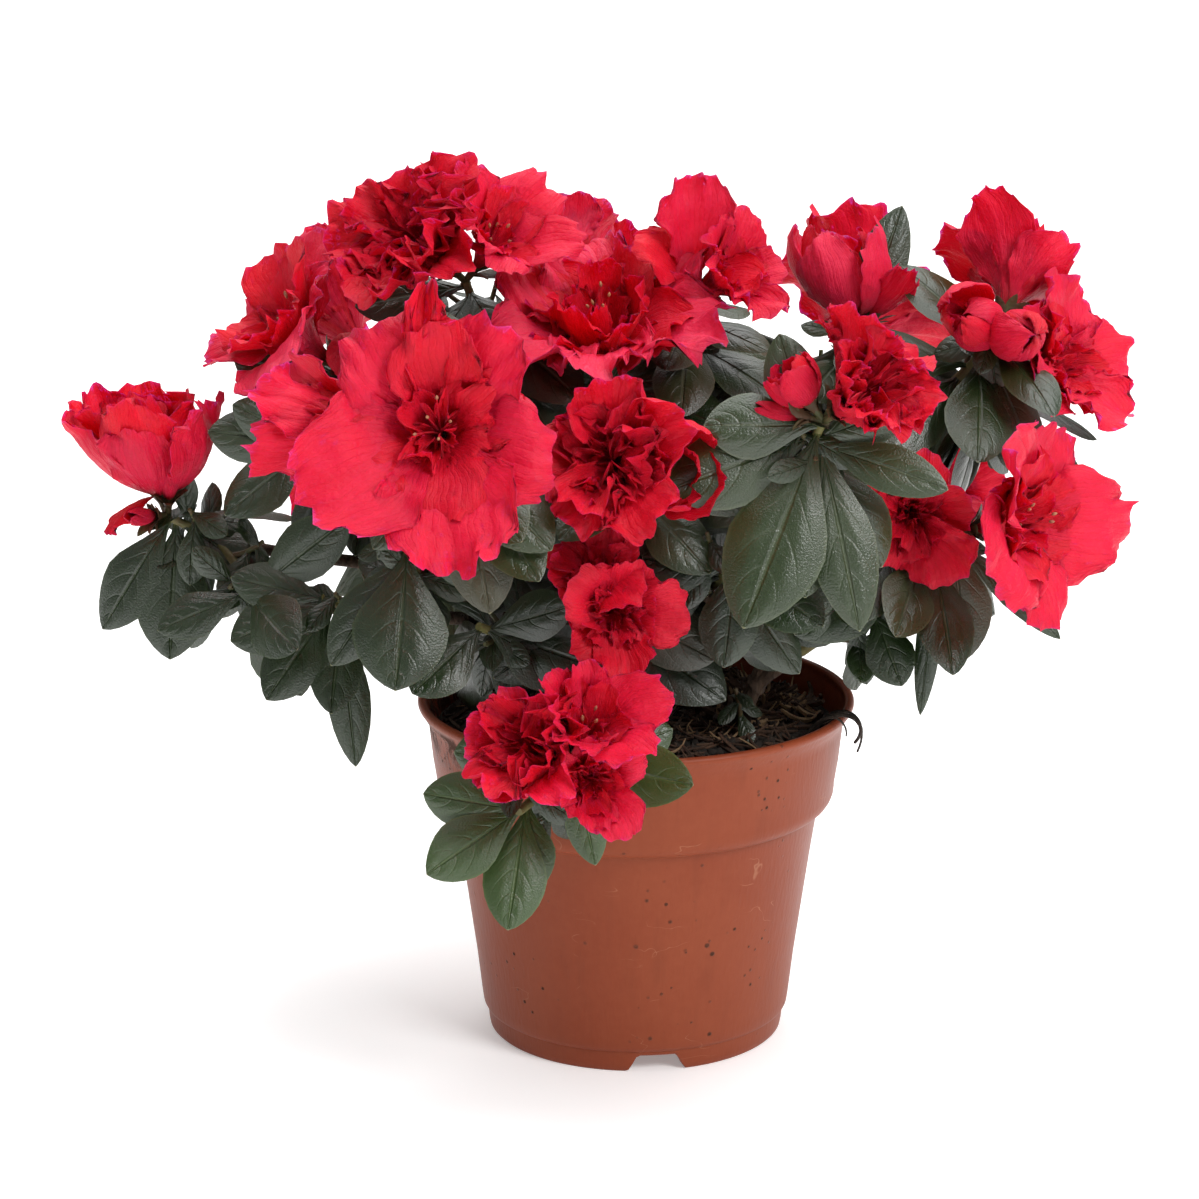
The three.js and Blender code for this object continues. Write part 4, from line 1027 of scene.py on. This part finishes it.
# How a mass's blooms, in their order, differ from the rest: their sort, their colour and the way
# that their first petal points. The usual sort comes from the opening, the usual colour is bright.
# The deeper red is partly painted shade, and the pinker red is partly painted light.
bloomLooks = {
    "far_left": [{"kind": "cup"}],
    "upper_left": [{"kind": "loose", "colour": "petalPink"}, {"kind": "half", "colour": "petalDeep"}],
    "front_left": [{"kind": "open", "turn": 60}, {"kind": "loose"}],
    "top_left": [{"kind": "tight", "colour": "petalDeep"}, {"kind": "loose"}],
    "top_centre": [{"kind": "crowned", "colour": "petalPink"}, {"colour": "petalPink"}],
    "top_right": [{"kind": "fan", "colour": "petalPink"}, {}],
    "right_crown": [{"kind": "tulip", "turn": 250, "colour": "petalPink"}, {"kind": "few"}],
    "front_right": [{"kind": "tight", "colour": "petalDeep"}, {"colour": "petalDeep"}, {"kind": "tulip"}],
    "far_right_crown": [{"kind": "loose"}],
    "far_right": [{"kind": "loose"}, {"colour": "petalDeep"}],
    "centre": [{"kind": "tight", "colour": "petalDeep"}, {"kind": "tulip", "colour": "petalDeep"}],
    "lower_centre": [{"colour": "petalDeep"}, {"colour": "petalDeep"}],
    "front_low": [{"kind": "tight"}, {"kind": "loose"}],
}
petalNames = ["petalBright", "petalDeep", "petalPink"]


# The sort of a bloom whose opening is given in degrees.
def usualKind(opening):
    return "bud" if opening < 20 else "half" if opening < 35 else "double"


# Every bloom of the plant, with its base 6 mm out from its shoot's tip, at the end of its stalk.
def listBlooms():
    blooms = []
    for mass in masses:
        chance = np.random.default_rng(len(blooms) + 5)
        looks = iter(bloomLooks.get(mass["name"], []))
        for tip, leaves, specs in mass["shoots"]:
            for turn, lift, length, opening in specs:
                firstTurn = 72 * next(mass["random"])
                facing = direction(turn, lift)
                side, other = crossAxes(facing)
                blooms.append({
                    "kind": usualKind(opening), "colour": "petalBright", "turn": firstTurn,
                    "facing": facing, "side": side, "other": other, "tip": np.array(tip, float),
                    "base": np.array(tip, float) + 6 * facing, "length": length, "opening": opening,
                    "random": chance, **next(looks, {}),
                })
    return blooms


# One row of numbers for each petal. The petals of a whorl stand evenly round their bloom, and each
# varies by chance; a bud's petals vary less.
def listPetals():
    rows = []
    for bloom in blooms:
        chance, isBud = bloom["random"], bloom["kind"] == "bud"
        for number, values in enumerate(whorls[bloom["kind"]]):
            whorl = dict(zip(whorlKeys, values))
            firstTurn = whorl.get("turn", bloom["turn"])
            for k in range(whorl["count"]):
                longer = 1 if isBud else 1 + 0.10 * np.clip(chance.normal(), -1.6, 1.2)
                rows.append({
                    "colour": bloom["colour"], "outer": 1.0 if number == 0 else 0.0,
                    **{key: bloom[key] for key in ("base", "facing", "side", "other")},
                    "length": bloom["length"] * whorl["length"] * longer, "start": whorl["start"],
                    "opening": bloom["opening"] * whorl["opening"] + (0 if isBud else 7 * chance.normal()),
                    "width": whorl["width"] * (1 + 0.08 * chance.normal()),
                    "cup": whorl["cup"] * (1 + 0.3 * chance.normal()),
                    "ruffle": whorl["ruffle"] * chance.uniform(0.7, 1.4),
                    "roll": whorl["roll"] * chance.uniform(-0.6, 2.0),
                    "turn": firstTurn + 360 * k / whorl["count"] + 36 * (number % 2) + 7 * chance.normal(),
                    "waves": chance.uniform(6, 10), "jag": 0.0 if isBud else 0.026,
                    "crumple": 0.0 if isBud else 0.032, "full": chance.uniform(0.55, 0.72),
                    "lean": 0.0 if isBud else 0.10 * chance.normal(), "lap": 0.03,
                    "wrap": 1.35 if isBud else 0.95, "swirl": 0.5 if isBud else 0.12 * chance.normal(),
                    **{f"phase{i}": chance.uniform(0, 6.3) for i in (1, 2, 3)},
                })
    return rows


# Rows as one array for each of their keys.
def stacked(rows):
    keys = [key for key in rows[0] if key not in ("colour", "finish")]
    return {key: np.array([row[key] for row in rows], float) for key in keys}


blooms = listBlooms()
petals = listPetals()

# Outer and inner petals are joined apart, and again by colour, in pieces that aren't too heavy.
for layer, name in ((1.0, "outerPetals"), (0.0, "innerPetals")):
    grid = petalShape["outerGrid" if layer else "innerGrid"]
    most = petalShape["facesInPiece"] // ((grid[0] - 1) * (grid[1] - 1) * 2)
    for colour in petalNames:
        finish = colour if layer or colour == "petalDeep" else "petalHeart"
        chosen = [row for row in petals if row["colour"] == colour and row["outer"] == layer]
        for number, start in enumerate(range(0, len(chosen), most)):
            front = petalSheets(stacked(chosen[start:start + most]), *grid, seed=number)
            label = f"{name}.{colour[5:].lower()}" + (f".{number + 1}" if len(chosen) > most else "")
            part = sheets(front, petalShape["thick"])
            makePiece(label, [part], [finishes[finish]], sharpAngle=75)
petalNet = petalSheets(stacked(petals), 5, 4).reshape(-1, 3)  # for keeping leaves clear
print("blooms:", len(blooms), "petals:", len(petals))

leafShape = {
    "length": 38.0, "breadth": 0.48, "bend": 30.0, "spacing": 1.25, "droop": 0.6, "thick": 0.35,
    "grid": (14, 9), "golden": 137.5,
}
# Leaves that stand out on a shoot, listed one by one: [turn, lift, length], and the breadth as a share of
# the length where it isn't the usual one. They come first, and the rule grows the rest round them.
leadLeaves = {
    "far_left": [
        [[200, -62, 37], [262, -76, 38, 0.54], [332, -34, 32], [150, -70, 38, 0.26], [245, 70, 17, 0.4]],
        [[200, -30, 26]]],
    "upper_left": [[[196, 2, 31, 0.52]], [[192, -2, 28, 0.52], [215, -38, 31], [200, 18, 26]]],
    "front_left": [[[320, -42, 40], [200, -30, 36], [112, 62, 38, 0.56], [70, 48, 36, 0.56]]],
    "top_left": [[
        [196, -14, 31], [290, -30, 28, 0.6], [250, -30, 25], [262, -68, 27, 0.62], [205, -40, 32]]],
    "top_centre": [[[342, -4, 33], [325, -16, 38], [350, 16, 34], [208, -10, 22]]],
    "right_crown": [[[12, 58, 40, 0.34], [60, 48, 30, 0.3]]],
    "front_right": [[
        [200, -8, 31, 0.56], [235, -62, 56, 0.47], [295, -70, 53, 0.33], [203, -24, 42, 0.5],
        [345, 8, 27, 0.5], [328, -22, 38, 0.34], [195, 60, 31, 0.46]]],
    "far_right_crown": [[], [[215, -20, 20, 0.6]]],
    "far_right": [[[285, -74, 34, 0.5], [335, -46, 41, 0.19], [195, -26, 30, 0.5], [252, -76, 47, 0.14]]],
    "centre": [[[205, -40, 26, 0.6]]],
    "front_low": [
        [[300, -72, 27, 0.4], [20, 34, 27, 0.56], [8, 4, 28, 0.56]],
        [[188, 0, 26, 0.56], [215, -32, 31, 0.52], [258, -60, 33, 0.5], [284, -64, 22, 0.5]]],
    "left_low": [
        [[186, 0, 27], [200, -28, 29, 0.56], [222, -52, 32, 0.5], [286, -76, 44, 0.26], [262, -60, 30]],
        [[262, -66, 38, 0.66], [208, -58, 37, 0.4], [338, -22, 24]]],
    "rim_left": [[[228, -36, 27, 0.6], [330, -30, 29, 0.56], [316, 10, 28]]],
    "rim_right": [[[300, -58, 22, 0.6], [200, -20, 24]]],
    "inner_right": [[[255, -74, 28, 0.56], [320, -30, 30, 0.56], [200, -4, 24, 0.7]]],
}


# Some shoots are fuller than the solids show, and some are thinner: leaves more or less on a shoot.
moreLeaves = {
    "top_left": 5, "top_centre": 6, "top_right": 6, "right_crown": 5, "back_centre": 5, "upper_left": 3,
    "far_right_crown": 4, "rim_right": -10, "front_low": -3, "left_low": -5, "inner_right": -3,
    "far_left": -5,
}


# Leaves on a grid of u from stalk to tip and v from edge to edge. The middle line bends down along
# an arc. With x = blade^1.08, the half width is breadth / 2 * (1 - |2x - 1|^2)^0.8, drawn in to
# a wedge at its foot. The blade falls away from the midrib as roll v^2, beside a groove along it.
def leafSheets(p, rows, columns):
    at = {key: value[:, None, None] for key, value in p.items() if value.ndim == 1}
    i = np.linspace(0, 1, rows)
    u = (0.35 * i + 0.65 * np.sin(i * np.pi / 2) ** 2)[None, :, None]
    v = np.linspace(-1, 1, columns)[None, None, :]
    blade = np.clip((u - 0.07) / 0.93, 0, 1)
    outline = np.clip(1 - np.abs(2 * blade**1.08 - 1) ** 2, 0, 1) ** 0.8
    outline = outline * (0.5 + 0.5 * smooth(0, 0.55, blade))
    half = at["length"] * at["breadth"] / 2 * outline + 0.75 * (1 - u) ** 3 + 0.12
    bend = at["bend"] * u
    ahead = at["length"] * np.where(np.abs(at["bend"]) < 1e-3, u, np.sin(bend) / (at["bend"] + 1e-9))
    down = at["length"] * (1 - np.cos(bend)) / (at["bend"] + 1e-9)
    groove = 0.11 * half * np.exp(-((v / 0.16) ** 2))
    ripple = at["wave"] * half * v * np.sin(u * 9 + at["phase"])
    high = ripple - groove - at["roll"] * half * v**2
    twist = at["twist"] * u
    across = half * v * np.cos(twist) - high * np.sin(twist)
    lift = half * v * np.sin(twist) + high * np.cos(twist)
    root, along, face = [p[key][:, None, None] for key in ("root", "along", "face")]
    left = np.cross(face, along)
    return root + along * ahead[..., None] + face * (lift - down)[..., None] + left * across[..., None]


# Thicker towards the stalk: thick + 0.9 exp(-u / 0.06).
def leafThickness(rows):
    u = np.linspace(0, 1, rows)[None, :, None, None]
    return leafShape["thick"] + 0.9 * np.exp(-u / 0.06)


# A leaf shows its face up, and to the side of the plant that it is on: 1 is the front, -1 the back.
def sideOf(point):
    return np.clip(0.6 - point[1] / 60, -1, 1)


# The part of a leaf's face that is square to its length.
def faced(along, face):
    return unit(face - along * (face @ along))


# The direction and face of leaf k on a shoot, counted back from its tip: it leaves the shoot at
# 52 to 96 degrees and hangs a little.
def leafRow(line, k, count, firstTurn, vary, shift):
    age = k / max(1, count - 1)
    share = max(0.08, 1 - (1.5 + leafShape["spacing"] * k) / lengthOf(line))
    axis = headingAt(line, share)
    side, other = crossAxes(axis)
    turn = np.radians(firstTurn + leafShape["golden"] * k + 24 * vary[0] + shift)
    spread = np.radians(52 + 44 * age + 16 * vary[1])
    out = roundAxis(side, other, turn)
    along = unit(axis * np.cos(spread) + out * np.sin(spread) - leafShape["droop"] * up)
    return {
        "root": pointsAt(line, share), "along": along,
        "face": faced(along, 0.4 * up + 0.6 * axis + np.array([0, -sideOf(line[-1]), 0])),
        "length": leafShape["length"] * (0.74 + 0.26 * np.sqrt(age)) * (1 + 0.22 * vary[2]),
        "breadth": leafShape["breadth"] * (1 + 0.16 * vary[0]),
        "bend": np.radians(leafShape["bend"] * (1 + 0.8 * vary[3])), "roll": 0.22 + 0.2 * vary[1],
        "wave": 0.05 + 0.05 * vary[2], "twist": 0.5 * vary[3], "phase": 6.3 * vary[2],
    }


# A listed leaf: it starts half its bend above the lift it is given, so that its tip ends there.
def ledLeaf(line, k, count, lead, vary):
    row = leafRow(line, k, count, 0, vary, 0)
    bend = leafShape["bend"] * (0.5 + 0.5 * np.cos(np.radians(lead[1]))) * (1 + 0.3 * vary[3])
    along = direction(lead[0], min(lead[1] + bend / 2, 85))
    face = 0.5 * up + 0.25 * direction(lead[0], 0) + np.array([0, -1.1 * sideOf(line[-1]), 0])
    breadth = lead[3] if len(lead) > 3 else leafShape["breadth"]
    return {
        **row, "along": along, "face": faced(along, face), "length": float(lead[2]),
        "breadth": breadth, "bend": np.radians(bend), "twist": 0.3 * vary[3],
    }


# The room that a leaf has: how far its outer two thirds keep from what has grown, and nothing if
# it enters the pot's wall or the peat.
def roomFor(row, grown):
    net = leafSheets(stacked([row]), 7, 3)[0, 3:].reshape(-1, 3)
    out = np.hypot(net[:, 0], net[:, 1])
    if np.any((out < potShape["rim"] + 1.5) & (net[:, 2] < soilTop + 2)) or np.any(
            (net[:, 2] < potHigh[2] + 1) & (out > 54) & (out < potShape["rim"] + 1.5)):
        return -1.0
    near = grown[np.all(np.abs(grown - net.mean(0)) < 30, axis=1)]
    if not len(near):
        return 30.0
    return np.sqrt(((net[:, None] - near[None]) ** 2).sum(-1).min())


# A few points of a leaf, for keeping others clear of it.
def netOf(row):
    return leafSheets(stacked([row]), 6, 3)[0, 2:].reshape(-1, 3)


# Led leaves of all shoots come first, and then each shoot's others where there is room for them.
# Each of these tries five turns round its shoot and takes the roomiest.
def growLeaves():
    rows, places = [], []
    for mass in masses:
        leads = leadLeaves.get(mass["name"], [])
        for index, (shoot, line) in enumerate(zip(mass["shoots"], mass["lines"])):
            firstTurn = 360 * next(mass["random"])
            led = leads[index] if index < len(leads) else []
            count = max(len(led), shoot[1] + moreLeaves.get(mass["name"], 0))
            for k in range(count):
                vary = [next(mass["random"]) - 0.5 for _ in range(4)]
                if k < len(led):
                    finish = ledFinish.get((mass["name"], k), usualLeaf.get(mass["name"], "leafDark"))
                    rows.append({**ledLeaf(line, k, count, led[k], vary), "finish": finish})
                else:
                    places.append((mass["name"], line, k, count, firstTurn, vary))
    grown = np.concatenate([petalNet] + [netOf(row) for row in rows])
    for name, line, k, count, firstTurn, vary in places:
        tries = [leafRow(line, k, count, firstTurn, vary, shift) for shift in (0, 40, -40, 80, -80)]
        room = [min(roomFor(row, grown), 5.0) - 0.1 * i for i, row in enumerate(tries)]
        best = int(np.argmax(room))
        if room[best] > 1.2:
            rows.append({**tries[best], "finish": leafFinishOf(name, vary)})
            grown = np.concatenate([grown, netOf(tries[best])])
    return rows, grown


leafNames = ["leafDark", "leafGrey", "leafFresh", "leafBronze"]
usualLeaf = {
    "front_low": "leafFresh", "front_left": "leafGrey", "front_right": "leafGrey", "top_centre": "leafGrey",
}
ledFinish = {("far_right", 0): "leafBronze"}


# The colours are dealt out by spray, with a few leaves of another colour in each.
def leafFinishOf(mass, vary):
    if vary[1] > 0.38:
        return "leafBronze"
    if vary[2] < -0.3:
        return "leafGrey"
    return usualLeaf.get(mass, "leafDark")


leaves, grownNet = growLeaves()
sprigShape = {
    "onShoot": 3, "length": (8, 14), "spread": 48.0, "leaves": 4, "leafShare": 0.46, "grid": (10, 7),
    "radii": (0.85, 0.6), "room": 0.9,
}
# A green shoot that rises from the peat beside the side stem.
sucker = {"foot": (28, -22), "head": (26.5, -24, 14), "leaves": 7, "leafShare": 0.24}


# Sprigs carry the rule on to finer twigs: each leaves its shoot at a slant, turned on from the last
# by the golden angle, and bends up. It bears small leaves where there is room for two or more.
def growSprigs(s, grown):
    chance = np.random.default_rng(23)
    lines, rows = [], []
    for mass in masses:
        for line in mass["lines"]:
            firstTurn = chance.uniform(0, 360)
            for number in range(s["onShoot"]):
                share = 0.32 + 0.5 * number / s["onShoot"]
                axis = headingAt(line, share)
                side, other = crossAxes(axis)
                turn, slant = np.radians(firstTurn + leafShape["golden"] * number), np.radians(s["spread"])
                out = roundAxis(side, other, turn)
                leaving = unit(axis * np.cos(slant) + out * np.sin(slant))
                root, size = pointsAt(line, share), chance.uniform(*s["length"])
                end = root + leaving * size * 0.9 + up * size * 0.25
                sprig = bezier([root, root + leaving * size * 0.5, end], 14)
                small = smallLeaves(sprig, s["leaves"], s["leafShare"], chance, "leafDark")
                fits = [row for row in small if roomFor(row, grown) > s["room"]]
                if len(fits) > 1:
                    lines.append(sprig)
                    rows += fits
                    grown = np.concatenate([grown] + [netOf(row) for row in fits])
    return lines, rows


# The leaves of a small shoot, by the same rule, at a share of their full length.
def smallLeaves(line, count, share, chance, finish):
    rows = []
    firstTurn = chance.uniform(0, 360)
    for k in range(count):
        row = leafRow(line, k, count, firstTurn, chance.uniform(-0.5, 0.5, 4), 0)
        rows.append({**row, "length": row["length"] * share, "finish": finish})
    return rows


# Closed leaves of one colour, whose backs have the underside's finish.
def leafPart(rows, grid, number):
    return sheets(leafSheets(stacked(rows), *grid), leafThickness(grid[0]), number, len(leafNames))


# Leaves of each colour, joined into one piece.
def makeLeafPiece(name, rows, grid, replaced=()):
    kinds = [[row for row in rows if row["finish"] == kind] for kind in leafNames]
    parts = [leafPart(kind, grid, number) for number, kind in enumerate(kinds) if kind]
    materials = [finishes[kind] for kind in leafNames + ["leafUnder"]]
    makePiece(name, parts, materials, replaced, sharpAngle=80)


sprigLines, sprigLeaves = growSprigs(sprigShape, grownNet)
suckerFoot = np.array([*sucker["foot"], soilTop - 2])
suckerTop = np.array([*sucker["head"][:2], soilTop + sucker["head"][2]])
suckerLine = bezier([suckerFoot, (suckerFoot + suckerTop) / 2 + [1.5, 0, 0], suckerTop], 14)
chance = np.random.default_rng(31)
sprigLeaves += smallLeaves(suckerLine, sucker["leaves"], sucker["leafShare"], chance, "leafFresh")
makeLeafPiece("leaves", leaves, leafShape["grid"], [mass["name"] for mass in masses])
makeLeafPiece("smallLeaves", sprigLeaves, sprigShape["grid"])
print("leaves:", len(leaves), "small leaves:", len(sprigLeaves), "sprigs:", len(sprigLines))


# The same radii, from low to high, for each of a number of tubes.
def tapers(low, high, steps, count):
    return np.linspace(low, high, steps)[None] * np.ones((count, 1))


# A stalk runs from inside its shoot's tip to just inside its bloom.
def stalkLine(bloom):
    facing = bloom["facing"]
    return bezier([bloom["tip"] - 1.5 * facing, bloom["tip"] + 2 * facing, bloom["base"] + 1.0 * facing], 7)


# Twigs: round tubes along the shoots, stalks, sprigs and sucker.
twigLines = np.array([pointsAt(line, np.linspace(0, 1, 16)) for mass in masses for line in mass["lines"]])
stalkLines = np.array([stalkLine(bloom) for bloom in blooms])
fineLines = np.array(sprigLines + [suckerLine])
twigParts = [
    tubes(twigLines, tapers(1.6, 1.15, 16, len(twigLines)), 8, 0),
    tubes(stalkLines, tapers(0.9, 1.25, 7, len(stalkLines)), 8, 1),
    tubes(fineLines, tapers(*sprigShape["radii"], 14, len(fineLines)), 6, 1),
]
makePiece("twigs", twigParts, [finishes["greenShoot"], finishes["sepal"]])

# Round the foot of every bloom stand green sepals, and outside them the brown scales of its bud.
calyxShape = {
    "sepals": {"count": 5, "length": (5, 8), "breadth": 0.34, "spread": 32, "bend": -18, "back": 1.5},
    "scales": {"count": 4, "length": (5, 10), "breadth": 0.42, "spread": 24, "bend": -26, "back": 3.0},
    "grid": (7, 5), "thick": 0.3,
}


# A ring of small pointed blades round a bloom's stalk. They leave its axis at spread degrees, and
# bend back towards it by bend.
def bladeRing(bloom, s, chance):
    rows = []
    firstTurn = chance.uniform(0, 360)
    facing = bloom["facing"]
    for k in range(s["count"]):
        turn = np.radians(firstTurn + 360 * k / s["count"] + chance.normal() * 8)
        slant = np.radians(s["spread"] + 7 * chance.normal())
        out = roundAxis(bloom["side"], bloom["other"], turn)
        rows.append({
            "root": bloom["base"] - facing * s["back"] + out * 0.8,
            "along": facing * np.cos(slant) + out * np.sin(slant),
            "face": out * np.cos(slant) - facing * np.sin(slant),
            "length": chance.uniform(*s["length"]), "breadth": s["breadth"] * chance.uniform(0.8, 1.2),
            "bend": np.radians(s["bend"]), "roll": 0.3, "wave": 0.05, "twist": 0.2 * chance.normal(),
            "phase": 0.0,
        })
    return rows


# Stamens: threads that leave the throat close to the axis and curve up, with an anther on each tip.
stamenShape = {
    "count": 5, "length": 0.50, "spread": 11.0, "radius": 0.22, "anther": 0.46, "antherLength": 1.5,
    "kinds": ("open", "loose", "crowned"),
}


# A thread is a Bezier from the bloom's base to a tip that is size away at a slant, and an anther
# goes on straight from it, as thick as a sine of its length.
def makeStamens(s, chance):
    threads, anthers = [], []
    for bloom in [bloom for bloom in blooms if bloom["kind"] in s["kinds"]]:
        base, facing = bloom["base"], bloom["facing"]
        for k in range(s["count"]):
            turn = 2 * np.pi * k / s["count"] + chance.normal() * 0.3
            out = roundAxis(bloom["side"], bloom["other"], turn)
            slant = np.radians(s["spread"] * chance.uniform(0.5, 1.5))
            size = bloom["length"] * s["length"] * chance.uniform(0.8, 1.1)
            tip = base + size * (facing * np.cos(slant) + out * np.sin(slant)) + up * 0.06 * size
            thread = bezier([base, base + facing * size * 0.55, tip], 10)
            ahead = unit(thread[-1] - thread[-2])
            threads.append(thread)
            anthers.append(tip + ahead * np.linspace(-0.2, s["antherLength"], 6)[:, None])
    swell = s["anther"] * np.sin(np.linspace(0.25, np.pi - 0.25, 6))
    thin = np.full((len(threads), 10), s["radius"])
    thick = swell[None] * np.ones((len(anthers), 1))
    return [tubes(np.array(threads), thin, 5, 0), tubes(np.array(anthers), thick, 6, 1)]


chance = np.random.default_rng(37)
calyxParts = []
for number, kind in enumerate(("sepals", "scales")):
    rows = [row for bloom in blooms for row in bladeRing(bloom, calyxShape[kind], chance)]
    front = leafSheets(stacked(rows), *calyxShape["grid"])
    calyxParts.append(sheets(front, calyxShape["thick"], number, number))
makePiece("calyxes", calyxParts, [finishes["sepal"], finishes["budScale"]])
stamenFinishes = [finishes["petalHeart"], finishes["anther"]]
makePiece("stamens", makeStamens(stamenShape, chance), stamenFinishes)


floorMesh = bpy.data.meshes.new("floor")
floorMesh.from_pydata([(-8, -8, 0), (8, -8, 0), (8, 8, 0), (-8, 8, 0)], [], [(0, 1, 2, 3)])
floor = bpy.data.objects.new("floor", floorMesh)
floorFinish = newMaterial(
    "paleFloor", Roughness=0.8, Base_Color=(0.93, 0.93, 0.93, 1), Emission_Color=(1, 1, 1, 1),
    Emission_Strength=0.25)[0]
floorMesh.materials.append(floorFinish)
bpy.context.scene.collection.objects.link(floor)
floor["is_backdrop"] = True

lights = {  # place, size and power in watts; each faces the plant
    "keyLight": {"at": (1.4, -1.5, 1.7), "size": 1.1, "power": 42},
    "topLight": {"at": (0.2, 0.9, 3.0), "size": 5.0, "power": 175},
}
cameraSpec = {"at": (-0.010, -1.1547, 0.4487), "aim": (-0.010, 0.0, 0.122), "lens": 131.8, "sensor": 36.0}
worldLight = 0.29


# Turns a lamp or camera so that it looks from one point at another.
def lookAt(thing, place, target):
    thing.location = place
    thing.rotation_euler = Vector(np.array(target) - np.array(place)).to_track_quat("-Z", "Y").to_euler()


for name, spec in lights.items():
    lamp = bpy.data.lights.new(name, "AREA")
    lamp.shape, lamp.size, lamp.energy = "DISK", spec["size"], spec["power"]
    holder = bpy.data.objects.new(name, lamp)
    bpy.context.scene.collection.objects.link(holder)
    lookAt(holder, spec["at"], cameraSpec["aim"])

world = bpy.data.worlds.new("softWhite")
world.use_nodes = True
world.node_tree.nodes["Background"].inputs["Color"].default_value = (1, 1, 1, 1)
world.node_tree.nodes["Background"].inputs["Strength"].default_value = worldLight
bpy.context.scene.world = world
bpy.context.scene.view_settings.view_transform = "Standard"

cameraData = bpy.data.cameras.new("camera")
cameraData.lens, cameraData.sensor_width = cameraSpec["lens"], cameraSpec["sensor"]
camera = bpy.data.objects.new("camera", cameraData)
bpy.context.scene.collection.objects.link(camera)
lookAt(camera, cameraSpec["at"], cameraSpec["aim"])
bpy.context.scene.camera = camera
print("floor, lights and camera set")

bpy.context.view_layer.update()
boxes = {"cad": cadBounds, "visual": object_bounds()}
{key: [list(corner) for corner in box] for key, box in boxes.items()}
